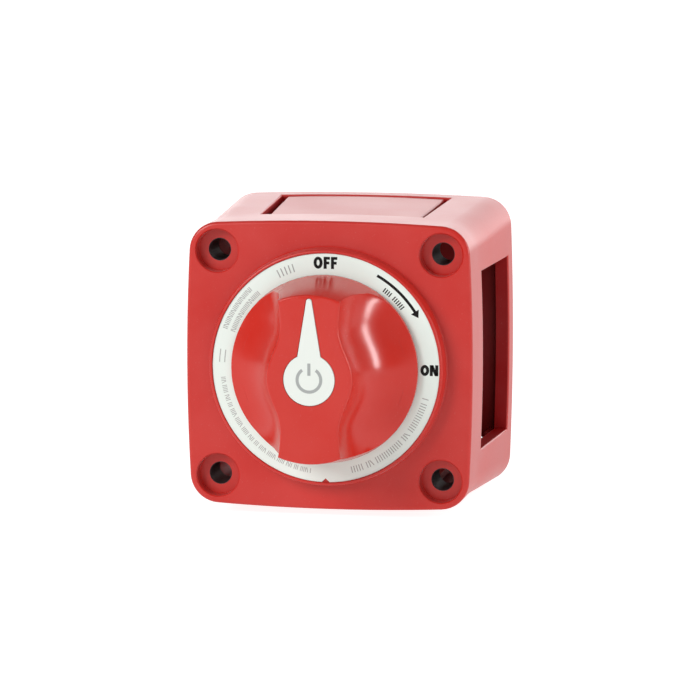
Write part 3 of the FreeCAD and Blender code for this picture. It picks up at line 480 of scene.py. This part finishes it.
def make_case():
    bm = bmesh.new()
    along_ports = [PORT_REAR, 15.0, 26.0, BAND_FOOT]
    outer = [ring(bm, bowed_spots(0, REAR_ROUND), 0),
             ring(bm, bowed_spots(REAR_ROUND, 0), REAR_ROUND)]
    outer += [ring(bm, bowed_spots(height, 0), height) for height in along_ports + [44.0]]
    steps = 5
    for k in range(steps + 1):
        angle = math.pi / 2 * k / steps
        inset = FRONT_ROUND * (1 - math.cos(angle))
        height = DEPTH - FRONT_ROUND + FRONT_ROUND * math.sin(angle)
        outer.append(ring(bm, bowed_spots(height, inset), height))
    inner = [ring(bm, bowed_spots(height, WALL), height)
             for height in [0] + along_ports + [FACE_BACK]]
    skin(bm, outer[::-1] + inner)
    # counterbored holes, then the dial seat, collar and switch chamber
    counterbore_floor = DEPTH - COUNTERBORE_DEPTH
    for centre in HOLE_CENTRES:
        lathe(bm, [(COUNTERBORE + EDGE_BREAK, DEPTH), (COUNTERBORE, DEPTH - EDGE_BREAK),
                   (COUNTERBORE, counterbore_floor), (SCREW_HOLE, counterbore_floor),
                   (SCREW_HOLE, FACE_BACK)], centre=centre)
    lathe(bm, [(BOSS_RADIUS + EDGE_BREAK, DEPTH), (BOSS_RADIUS, DEPTH + EDGE_BREAK)]
              + [(BOSS_LIP + out, BOSS_TOP - down) for out, down in BOSS_ROUND] +
              [(LABEL_RADIUS + SEAT_LEAD, BOSS_TOP),
               (LABEL_RADIUS + LABEL_GAP, BOSS_TOP - SEAT_LEAD_DEPTH),
               (LABEL_RADIUS + LABEL_GAP, LABEL_FOOT),
               (COLLAR_RADIUS, LABEL_FOOT), (COLLAR_RADIUS, COLLAR_TOP), (SHAFT_BORE, COLLAR_TOP),
               (SHAFT_BORE, ROOF), (CHAMBER_RADIUS, ROOF), (CHAMBER_RADIUS, CHAMBER_FOOT),
               (CHAMBER_RADIUS + CHAMBER_WALL, CHAMBER_FOOT),
               (CHAMBER_RADIUS + CHAMBER_WALL, FACE_BACK)], DIAL_STEPS)
    fill_level(bm, DEPTH)
    fill_level(bm, FACE_BACK, up=False)
    open_ports(bm)
    # painted shade: faces inside the housing get the darker inside red, and the port reveals a red
    # between the two
    for face in bm.faces:
        middle = face.calc_center_median()
        inside = flare(middle.z, REAR_HALF, FRONT_HALF) - WALL + 0.1
        across = max(abs(middle.x), abs(middle.y))
        if 0.01 < middle.z < FACE_BACK + 0.01 and across < inside:
            face.material_index = 1
        elif in_port(middle) and across < inside + WALL - PORT_EDGE - 0.15:
            face.material_index = 2
    shell = finish_piece("housing_shell", bm, "housing", "housing_red", ["case"])
    shell.data.materials.append(INSIDE_PAINTED_SHADE_RED)
    shell.data.materials.append(REVEAL_PAINTED_SHADE_RED)


# ------------------------------------------------------------------ knob
def grip_half(along):
    """Half width of the grip's flat top, which swells round the pointer disc."""
    bulge = (1 + math.cos(math.pi * min(abs(along) / GRIP_BULGE, 1.0))) / 2
    flare_out = GRIP_FLARE * (abs(along) / KNOB_NARROW) ** 6
    return GRIP_WAIST + (GRIP_MIDDLE - GRIP_WAIST) * bulge + flare_out


SCOOP_LOW = KNOB_FOOT + SCOOP_LIP
WIDEST = KNOB_FOOT + KNOB_EDGE


def flank(height):
    """The knob's outer radius at a height; its side leans in towards the top."""
    return KNOB_WIDE - (KNOB_WIDE - KNOB_NARROW) * (height - WIDEST) / (KNOB_TOP - WIDEST)


def scoop_foot(along):
    """How low the finger scoop reaches: its two ends are rounded off."""
    past = abs(along) - SCOOP_STRAIGHT
    if past <= 0:
        return SCOOP_LOW
    if past < 0.97 * SCOOP_END:
        return SCOOP_LOW + SCOOP_END - math.sqrt(SCOOP_END ** 2 - past ** 2)
    return SCOOP_LOW + 0.757 * SCOOP_END + 20 * (past - 0.97 * SCOOP_END)


def scoop(along, height):
    """How far out the finger scoop's surface is: an arc, upright at the grip's edge."""
    lip, foot = grip_half(along), scoop_foot(along)
    rim = math.sqrt(max(flank(foot) ** 2 - along ** 2, (lip + 0.3) ** 2))
    across, drop = rim - lip, max(KNOB_TOP - foot, 1.0)
    radius = (across ** 2 + drop ** 2) / (2 * across)
    return lip + radius - math.sqrt(radius ** 2 - min(KNOB_TOP - height, drop) ** 2)


def corner_along(height):
    """Where the scoop meets the round flank at a height, by halving."""
    low, high = 12.0, 19.2
    for _ in range(40):
        middle = (low + high) / 2
        inside = flank(height) - math.hypot(scoop(middle, height), middle) > -1e-6
        if height >= scoop_foot(middle) and inside:
            low = middle
        else:
            high = middle
    return low


SCOOP_STEPS, FLANK_STEPS, RISE_STEPS, ROUND_STEPS = 40, 18, 26, 4


def knob_spots(height):
    """The knob's outline at a height: scoop, flank, scoop, flank, anticlockwise."""
    corner = corner_along(height)
    half = [(scoop(s, height), s) for s in
            (corner * (2 * k / SCOOP_STEPS - 1) for k in range(SCOOP_STEPS))]
    start = math.atan2(corner, scoop(corner, height))
    for k in range(FLANK_STEPS):
        angle = start + (math.pi - 2 * start) * k / FLANK_STEPS
        radius = math.hypot(corner, scoop(corner, height))
        half.append((radius * math.cos(angle), radius * math.sin(angle)))
    return half + [(-x, -y) for x, y in half]


def shrink(spots, amount):
    """The same outline moved inwards along its own normals."""
    moved = []
    for index, (x, y) in enumerate(spots):
        before, after = Vector(spots[index - 1]), Vector(spots[(index + 1) % len(spots)])
        along = (after - before).normalized()
        moved.append((x - along.y * amount, y + along.x * amount))
    return moved


DISC_STEPS, TIP_STEPS = 44, 10


def pointer_spots(gap):
    """A disc that runs out into a tapered finger with a round tip."""
    disc, neck = POINTER_DISC + gap, POINTER_NECK + gap
    tip_half = POINTER_TIP_HALF + gap
    start = math.atan2(math.sqrt(disc ** 2 - neck ** 2), neck)
    spots = []
    for k in range(DISC_STEPS + 1):
        angle = math.pi - start + (math.pi + 2 * start) * k / DISC_STEPS
        spots.append((disc * math.cos(angle), disc * math.sin(angle)))
    tip_radius = 1.1 * tip_half
    tip_start = math.acos(tip_half / tip_radius)
    tip_centre = POINTER_TIP + gap - tip_radius
    for k in range(TIP_STEPS + 1):
        angle = tip_start + (math.pi - 2 * tip_start) * k / TIP_STEPS
        spots.append((tip_radius * math.cos(angle), tip_centre + tip_radius * math.sin(angle)))
    return spots


def make_knob():
    bm = bmesh.new()
    swing = math.asin((KNOB_TOP - SCOOP_LOW) / SCOOP_RADIUS)
    top = KNOB_TOP - KNOB_ROUND
    low_spots = knob_spots(SCOOP_LOW)
    angles = [math.atan2(y, x) for x, y in low_spots]

    def round_ring(radius, height):
        return ring(bm, [(radius * math.cos(a), radius * math.sin(a)) for a in angles], height)

    hollow_roof = KNOB_FOOT + HOLLOW_DEPTH
    under = [(HUB_BORE, COLLAR_TOP + HUB_DEPTH_GAP), (HUB_BORE, KNOB_FOOT), (HUB_RADIUS, KNOB_FOOT),
             (HUB_RADIUS, hollow_roof), (HOLLOW_RADIUS, hollow_roof), (HOLLOW_RADIUS, KNOB_FOOT),
             (21.15, KNOB_FOOT), (21.42, KNOB_FOOT + 0.12), (21.56, KNOB_FOOT + 0.4),
             (KNOB_WIDE, WIDEST), (flank(SCOOP_LOW), SCOOP_LOW)]
    rings = [round_ring(radius, height) for radius, height in under]
    for k in range(RISE_STEPS + 1):
        height = KNOB_TOP - SCOOP_RADIUS * math.sin(swing * (RISE_STEPS - k) / RISE_STEPS)
        height = SCOOP_LOW + (height - SCOOP_LOW) * (top - SCOOP_LOW) / (KNOB_TOP - SCOOP_LOW)
        rings.append(ring(bm, knob_spots(height), height))
    last = knob_spots(top)
    for k in range(1, ROUND_STEPS + 1):
        angle = math.pi / 2 * k / ROUND_STEPS
        rings.append(ring(bm, shrink(last, KNOB_ROUND * (1 - math.cos(angle))),
                          top + KNOB_ROUND * math.sin(angle)))
    skin(bm, rings)
    # a small round where each scoop runs into the flank
    rims = [edge for edge in bm.edges if len(edge.link_faces) == 2
            and SCOOP_LOW - 0.01 < min(vert.co.z for vert in edge.verts)
            and 0.02 < abs(edge.verts[0].co.z - edge.verts[1].co.z)
            and max(vert.co.z for vert in edge.verts) < top + 0.01
            and edge.calc_face_angle(0) > math.radians(20)]
    soften_edges(bm, rims, RIM_ROUND, 2)
    bmesh.ops.contextual_create(bm, geom=rings[0])
    # the pocket for the pointer
    pocket_floor = KNOB_TOP - POINTER_DEEP - POCKET_DEEPER
    rim = ring(bm, pointer_spots(POCKET_GAP), KNOB_TOP)
    floor = ring(bm, pointer_spots(POCKET_GAP), pocket_floor)
    bmesh.ops.bridge_loops(bm, edges=rim + floor)
    fill_level(bm, KNOB_TOP)
    fill_level(bm, pocket_floor)
    finish_piece("knob_grip", bm, "rotor", "knob_red", ["knob"], sharp=28)


def make_pointer():
    bm = bmesh.new()
    top = KNOB_TOP - POINTER_SETBACK
    levels = [(0, KNOB_TOP - POINTER_DEEP), (0, top - POINTER_ROUND),
              (-POINTER_ROUND * 0.3, top - POINTER_ROUND * 0.3), (-POINTER_ROUND, top)]
    skin(bm, [ring(bm, pointer_spots(gap), height) for gap, height in levels])
    fill_level(bm, top)
    fill_level(bm, KNOB_TOP - POINTER_DEEP, up=False)
    finish_piece("pointer_inlay", bm, "rotor", "pointer_white", ["knob_pointer"])
    # a printed ring with a bar at its open top, the common sign for a power switch
    bm = bmesh.new()
    arc_band(bm, SIGN_INNER, SIGN_OUTER, math.radians(125), math.radians(415), top, 44)
    plate(bm, -SIGN_BAR_HALF, SIGN_BAR_HALF, SIGN_BAR_LOW, SIGN_BAR_HIGH, top)
    finish_piece("pointer_print", bm, "rotor", "pointer_white", ink="grey")


# ------------------------------------------------------------------ dial
PRINT_THICK = 0.02
LABEL_STEPS = 180


def raise_print(bm, faces):
    """Give flat print a thickness, so that it is a closed skin of ink."""
    made = bmesh.ops.extrude_face_region(bm, geom=faces)["geom"]
    top = [item for item in made if isinstance(item, bmesh.types.BMVert)]
    bmesh.ops.translate(bm, verts=top, vec=(0, 0, PRINT_THICK))


def arc_band(bm, inner, outer, start, finish, height, steps):
    """Printed band between two radii, from one angle to another."""
    begin = [bm.verts.new((radius * math.cos(start), radius * math.sin(start), height))
             for radius in (inner, outer)]
    edge = bm.edges.new(begin)
    before = set(bm.faces)
    bmesh.ops.spin(bm, geom=begin + [edge], cent=(0, 0, 0), axis=(0, 0, 1), angle=finish - start,
                   steps=steps)
    raise_print(bm, [face for face in bm.faces if face not in before])


def plate(bm, left, right, low, high, height):
    """Printed rectangle."""
    made = bmesh.ops.create_grid(bm, x_segments=1, y_segments=1, size=0.5)["verts"]
    bmesh.ops.scale(bm, verts=made, vec=(right - left, high - low, 1))
    bmesh.ops.translate(bm, verts=made, vec=((left + right) / 2, (low + high) / 2, height))
    raise_print(bm, list({face for vert in made for face in vert.link_faces}))


def make_label():
    bm = bmesh.new()
    outer, inner = [[(radius * math.cos(FULL_TURN * k / LABEL_STEPS),
                      radius * math.sin(FULL_TURN * k / LABEL_STEPS)) for k in range(LABEL_STEPS)]
                    for radius in (LABEL_RADIUS, LABEL_BORE)]
    outer[LABEL_STEPS * 3 // 4] = (0.0, -LABEL_RADIUS + LABEL_NOTCH)
    rings = [ring(bm, inner, LABEL_FOOT), ring(bm, outer, LABEL_FOOT),
             ring(bm, outer, LABEL_TOP), ring(bm, inner, LABEL_TOP)]
    skin(bm, rings + rings[:1])
    finish_piece("dial_ring", bm, "housing", "label_white", ["dial_label"], sharp=20)


STROKE = 0.70                   # width of a letter's strokes
CROSSBAR = STROKE * 0.92
DASH_TILT = 0.35
SLANT = 0.12                    # how far the N's slanting stroke starts inside its upright


def letter_o(bm, left, low, wide, tall):
    """A bold O: a band spun round, then squeezed to its width."""
    before = set(bm.verts)
    arc_band(bm, tall / 2 - STROKE, tall / 2, 0.0, FULL_TURN, LABEL_TOP, 40)
    verts = [vert for vert in bm.verts if vert not in before]
    squeeze = wide / tall
    for vert in verts:
        outward = math.hypot(vert.co.x, vert.co.y) > tall / 2 - STROKE / 2
        vert.co.x *= squeeze if outward else (wide / 2 - STROKE) / (tall / 2 - STROKE)
    bmesh.ops.translate(bm, verts=verts, vec=(left + wide / 2, low + tall / 2, 0))
    bmesh.ops.remove_doubles(bm, verts=verts, dist=1e-4)


def stroke_bar(bm, left, low, right, high):
    plate(bm, left, right, low, high, LABEL_TOP)


def letter_f(bm, left, low, wide, tall):
    middle = low + tall * 0.37
    stroke_bar(bm, left, low, left + STROKE, low + tall)
    stroke_bar(bm, left + STROKE, low + tall - CROSSBAR, left + wide, low + tall)
    stroke_bar(bm, left + STROKE, middle, left + wide * 0.9, middle + CROSSBAR)


def letter_n(bm, left, low, wide, tall):
    stroke_bar(bm, left, low, left + STROKE, low + tall)
    stroke_bar(bm, left + wide - STROKE, low, left + wide, low + tall)
    corners = [(SLANT, tall), (STROKE + SLANT, tall), (wide - SLANT, 0),
               (wide - STROKE - SLANT, 0)]
    verts = [bm.verts.new((left + x, low + y, LABEL_TOP)) for x, y in corners]
    raise_print(bm, bmesh.ops.contextual_create(bm, geom=verts)["faces"])


def dash_row(bm, radius, tall, first, last, pitch, stroke, words):
    """A row of short strokes along an arc, in groups: neutral filler for fine print."""
    start, finish = math.radians(first), math.radians(last)
    count = int(abs(finish - start) * radius / pitch)
    for k in range(count):
        if words[k % len(words)] == " ":
            continue
        angle = start + (finish - start) * (k + 0.5) / count
        tilt = DASH_TILT if words[k % len(words)] == "/" else 0.0
        before = set(bm.verts)
        plate(bm, radius - tall / 2, radius + tall / 2, -stroke / 2, stroke / 2, LABEL_TOP)
        verts = [vert for vert in bm.verts if vert not in before]
        middle = (radius, 0, LABEL_TOP)
        bmesh.ops.rotate(bm, verts=verts, cent=middle, matrix=Matrix.Rotation(tilt, 3, "Z"))
        bmesh.ops.rotate(bm, verts=verts, cent=(0, 0, 0), matrix=Matrix.Rotation(angle, 3, "Z"))


# the letters' left edge and width
OFF_LOW, OFF_TALL = 22.8, 2.75
OFF_LETTERS = [(letter_o, -2.75, 2.1), (letter_f, -0.42, 1.46), (letter_f, 1.28, 1.46)]
ON_LOW, ON_TALL = -1.15, 2.5
ON_LETTERS = [(letter_o, 21.95, 2.0), (letter_n, 24.1, 1.95)]
# the arrow from OFF to ON
ARROW_INNER, ARROW_RADIUS, ARROW_OUTER = 24.28, 24.6, 24.92
ARROW_HEAD_HALF, ARROW_HEAD_TURN = 1.05, 0.065
# radius, stroke length, first and last degree, pitch, stroke width, groups of strokes
BLACK_ROW = (22.75, 1.15, 54, 38, 0.55, 0.27, "|||| ||")
GREY_ROWS = [
    (24.9, 1.15, 160, 134, 0.40, 0.17, "||/||||/|"),
    (23.0, 1.15, 160, 132, 0.40, 0.17, "|/|||||||/"),
    (24.0, 1.9, 118, 107, 0.85, 0.26, "|"),
    (24.0, 1.1, 186, 262, 0.38, 0.15, "|||/ ||||| |/|| ||| ||||/ ||"),
    (24.0, 1.5, 284, 345, 0.62, 0.2, "||||| ||/ |||||||"),
]
GREY_RULES = [(23.4, 23.6), (24.6, 24.8)]


def make_dial_print():
    bm = bmesh.new()
    for letter, left, wide in OFF_LETTERS:
        letter(bm, left, OFF_LOW, wide, OFF_TALL)
    for letter, left, wide in ON_LETTERS:
        letter(bm, left, ON_LOW, wide, ON_TALL)
    near, far = math.radians(33), math.radians(61)
    arc_band(bm, ARROW_INNER, ARROW_OUTER, near, far, LABEL_TOP, 20)
    head = [(ARROW_RADIUS - ARROW_HEAD_HALF, near), (ARROW_RADIUS, near - ARROW_HEAD_TURN),
            (ARROW_RADIUS + ARROW_HEAD_HALF, near)]
    verts = [bm.verts.new((r * math.cos(a), r * math.sin(a), LABEL_TOP)) for r, a in head]
    raise_print(bm, bmesh.ops.contextual_create(bm, geom=verts)["faces"])
    dash_row(bm, *BLACK_ROW)
    finish_piece("dial_print_black", bm, "housing", "label_white", ink="black")
    bm = bmesh.new()
    for row in GREY_ROWS:
        dash_row(bm, *row)
    for inner, outer in GREY_RULES:
        arc_band(bm, inner, outer, math.radians(171), math.radians(178), LABEL_TOP, 6)
    finish_piece("dial_print_grey", bm, "housing", "label_white", ink="grey")


def make_dark_hole_sleeves():
    """Thin black sleeves in the four mounting holes through the front wall, which make the holes
    dark inside.
    """
    for label, x, y in (("top_right", 1, 1), ("top_left", -1, 1), ("bottom_left", -1, -1),
                        ("bottom_right", 1, -1)):
        bm = bmesh.new()
        outer = SCREW_HOLE - SLEEVE_GAP
        inner, foot = outer - SLEEVE_THICK, FACE_BACK - SLEEVE_REACH
        high = DEPTH - COUNTERBORE_DEPTH - SLEEVE_SETBACK
        profile = [(inner, foot), (outer, foot), (outer, high), (inner + 0.06, high),
                   (inner, high - 0.06), (inner, foot)]
        lathe(bm, profile, centre=(x * HOLE_SPACING / 2, y * HOLE_SPACING / 2))
        finish_piece("dark_hole_sleeve_" + label, bm, "housing", "base_black")


def make_rear_panel():
    """Rear cover: softened plate with a shallow round recess, ribs and snap tongues inside."""
    bm = bmesh.new()
    inset = WALL + COVER_GAP
    levels = [(COVER_ROUND, 0), (0, COVER_ROUND), (0, COVER_THICK - COVER_ROUND),
              (COVER_ROUND, COVER_THICK)]
    skin(bm, [ring(bm, bowed_spots(COVER_THICK, inset + more), height) for more, height in levels])
    for centre in HOLE_CENTRES:
        lathe(bm, [(COVER_HOLE + COVER_HOLE_BREAK, 0), (COVER_HOLE, COVER_HOLE_BREAK),
                   (COVER_HOLE, COVER_THICK)], centre=centre)
    # a wide shallow recess, a thin raised ring in it and a small dimple in the middle
    lathe(bm, [(COVER_RECESS, 0), (COVER_RECESS - 0.2, 0.12), (COVER_RECESS - 0.3, 0.5),
               (10.4, 0.5), (10.2, 0.42), (10.2, 0.1), (10.0, 0.02), (8.6, 0.02), (8.4, 0.1),
               (8.4, 0.42), (8.2, 0.5), (1.6, 0.5), (1.5, 0.62), (0, 0.62)], 120)
    fill_level(bm, 0, up=False)
    fill_level(bm, COVER_THICK)
    root = COVER_THICK - ROOTED
    for middle in (-RIB_SPACING, 0, RIB_SPACING):
        brick(bm, (-RIB_HALF_LENGTH, middle - RIB_HALF_WIDTH, root),
              (RIB_HALF_LENGTH, middle + RIB_HALF_WIDTH, COVER_THICK + RIB_HEIGHT), MOULD_EDGE)
    tip = COVER_THICK + TONGUE_HEIGHT
    reach_out = flare(tip, REAR_HALF, FRONT_HALF) - inset - TONGUE_RELIEF
    beside_port = SIDE_PORT + TONGUE_PORT_GAP
    for side in (1, -1):
        for low in (beside_port, -beside_port - TONGUE_WIDE):
            near, far = sorted((side * (reach_out - TONGUE_THICK), side * reach_out))
            brick(bm, (near, low, root), (far, low + TONGUE_WIDE, tip), MOULD_EDGE)
    # painted shade: the cover's inner face, its ribs and its tongues get the darker inside red
    for face in bm.faces:
        if face.calc_center_median().z > root - 0.01:
            face.material_index = 1
    panel = finish_piece("rear_panel", bm, "cover", "housing_red", ["rear_cover"])
    panel.data.materials.append(INSIDE_PAINTED_SHADE_RED)


# one tooth of the thread: radius, and share of the pitch
THREAD_TOOTH = [(THREAD_ROOT, 0.0), (THREAD_CREST - CREST_ROUND, 0.36), (THREAD_CREST, 0.44),
                (THREAD_CREST, 0.52), (THREAD_CREST - CREST_ROUND, 0.60), (THREAD_ROOT, 0.96)]


def make_studs():
    """Terminal studs with a cut thread, a plain shank and a round head."""
    nut_low = reach("terminal_nuts")[0].z
    for label in ("right", "left"):
        low, high = reach("terminal_stud_" + label)
        middle = (low.x + high.x) / 2
        profile = [(0, low.z), (3.5, low.z), (3.7, low.z + 0.1), (4.1, low.z + 0.6)]
        height = low.z + 0.8
        while height + THREAD_PITCH < nut_low + 1.2:
            profile += [(radius, height + share * THREAD_PITCH) for radius, share in THREAD_TOOTH]
            height += THREAD_PITCH
        under_head, rim = high.z - HEAD_THICK, HEAD_RADIUS - HEAD_ROUND
        profile += [(SHANK_RADIUS, nut_low + 1.4), (SHANK_RADIUS, under_head), (rim, under_head),
                    (HEAD_RADIUS, under_head + HEAD_ROUND), (HEAD_RADIUS, high.z - HEAD_ROUND),
                    (rim, high.z), (0, high.z)]
        bm = bmesh.new()
        lathe(bm, profile, 72, (middle, 0))
        finish_piece("threaded_stud_" + label, bm, "housing", "tinned_copper",
                     ["terminal_stud_" + label])


def make_port_blank(name, node, sign):
    """Panel that closes a port, set a little below the wall, with a flange inside it."""
    bm = bmesh.new()
    low, high = PORT_REAR + BLANK_GAP, BAND_FOOT - BLANK_GAP
    for vert in bmesh.ops.create_grid(bm, x_segments=16, y_segments=8, size=1.0)["verts"]:
        share = (vert.co.y + 1) / 2
        height = low + (high - low) * share
        x = vert.co.x * (end_port_half(height) - BLANK_SIDE_GAP)
        rise = flare(height, REAR_HALF, FRONT_HALF) - (BLANK_SINK + BLANK_SINK_MORE * share)
        vert.co = (x, sign * (rise - x * x / (2 * FRONT_BOW)), height)
    made = bmesh.ops.extrude_face_region(bm, geom=list(bm.faces))["geom"]
    ceiling = FRONT_HALF - WALL - FLANGE_GAP
    foot = ceiling - BLANK_OVERLAP
    for item in made:
        if isinstance(item, bmesh.types.BMVert):
            item.co.y = sign * foot
    bmesh.ops.recalc_face_normals(bm, faces=bm.faces)
    rim = [edge for edge in bm.edges if len(edge.link_faces) == 2
           and edge.calc_face_angle() > math.radians(50)
           and all(abs(v.co.y) > foot + 1 for v in edge.verts)]
    soften_edges(bm, rim, BLANK_ROUND)
    reach_out = END_PORT_REAR + FLANGE_REACH
    near, far = sorted((sign * (ceiling - FLANGE_THICK), sign * ceiling))
    brick(bm, (-reach_out, near, low), (reach_out, far, high - BLANK_SIDE_GAP), FLANGE_ROUND)
    finish_piece(name, bm, "top_blank" if sign > 0 else "bottom_blank", "housing_red", [node])


make_case()
make_knob()
make_pointer()
make_label()
make_dial_print()
make_dark_hole_sleeves()
make_rear_panel()
make_studs()
make_port_blank("top_port_panel", "port_blank_top", 1)
make_port_blank("bottom_port_panel", "port_blank_bottom", -1)

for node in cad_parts.values():
    if not node.hide_render:
        for place in node.material_slots:
            slot = place.material.name.split(".")[0]
            place.material = FINISHES.get(slot, FINISHES["housing_red"])


# ------------------------------------------------------------------ studio
STAGE_TONE = (0.5, 0.5, 0.5, 1)
SURROUND_LIGHT, SURROUND_SEEN = 0.27, 1.05


def seen_or_cast(tree, seen, cast):
    """One strength where the studio itself is seen, another for the light that it gives."""
    path = tree.nodes.new("ShaderNodeLightPath")
    return remap(tree, path.outputs["Is Camera Ray"], 0, 1, cast, seen)


def stage_panel(name, size, place, turn, glow, cast):
    """A flat matt panel of the studio: glow is how bright it looks, cast what it gives off."""
    bpy.ops.mesh.primitive_plane_add(size=1, location=place, rotation=turn)
    panel = bpy.context.object
    panel.name = name
    panel.scale = (*size, 1)
    paint = bpy.data.materials.new(name + "_paint")
    paint.use_nodes = True
    shader = paint.node_tree.nodes["Principled BSDF"]
    shader.inputs["Base Color"].default_value = STAGE_TONE
    shader.inputs["Roughness"].default_value = 0.9
    shader.inputs["Specular IOR Level"].default_value = 0.0
    shader.inputs["Emission Color"].default_value = (1, 1, 1, 1)
    wire(paint.node_tree, (seen_or_cast(paint.node_tree, glow, cast),
                           shader.inputs["Emission Strength"]))
    panel.data.materials.append(paint)


def area_light(name, place, aim, size, power, mirrored=True):
    """A soft rectangular lamp; one that isn't mirrored gives no reflection of itself."""
    lamp = bpy.data.lights.new(name, "AREA")
    lamp.shape = "RECTANGLE"
    lamp.size, lamp.size_y = size
    lamp.energy = power
    holder = bpy.data.objects.new(name, lamp)
    bpy.context.scene.collection.objects.link(holder)
    holder.location = place
    holder.rotation_euler = (Vector(aim) - Vector(place)).to_track_quat("-Z", "Y").to_euler()
    holder.visible_glossy = mirrored


def make_studio():
    stage_panel("studio_floor", (60, 60), (0, 1.5, cad_low.z - 0.0002), (0, 0, 0),
                glow=0.88, cast=0.60)
    stage_panel("studio_backdrop", (6, 1.7), (0, 3.2, 0.8), (math.pi / 2, 0, 0),
                glow=2.0, cast=2.0)
    # the surround lights softly, but looks white itself
    world = bpy.data.worlds.new("studio_white")
    world.use_nodes = True
    tree = world.node_tree
    surround = tree.nodes["Background"]
    surround.inputs["Color"].default_value = (1, 1, 1, 1)
    wire(tree, (seen_or_cast(tree, SURROUND_SEEN, SURROUND_LIGHT), surround.inputs["Strength"]))
    bpy.context.scene.world = world
    area_light("key_softbox", (-0.75, -0.95, 0.62), (0, 0, 0), (0.7, 0.6), 11.4)
    area_light("fill_softbox", (0.8, -1.0, 0.45), (0, 0, 0), (1.0, 1.0), 2.5, mirrored=False)
    area_light("side_strip", (0.80, 0.0, 0.21), (0.01, -0.06, 0), (0.11, 0.36), 2.5)
    bpy.context.scene.view_settings.view_transform = "Standard"


CAMERA_PLACE, CAMERA_AIM = (0.18913, -1.02129, 0.13974), (0.005, -0.052, 0.00384)
FOCAL_LENGTH, SENSOR_WIDTH = 224.4, 36


def make_camera():
    lens = bpy.data.cameras.new("front_camera")
    lens.lens = FOCAL_LENGTH
    lens.sensor_width = SENSOR_WIDTH
    camera = bpy.data.objects.new("front_camera", lens)
    bpy.context.scene.collection.objects.link(camera)
    camera.location = CAMERA_PLACE
    gaze = Vector(CAMERA_AIM) - camera.location
    camera.rotation_euler = gaze.to_track_quat("-Z", "Y").to_euler()
    lens.clip_end = 50
    bpy.context.scene.camera = camera


make_studio()
make_camera()
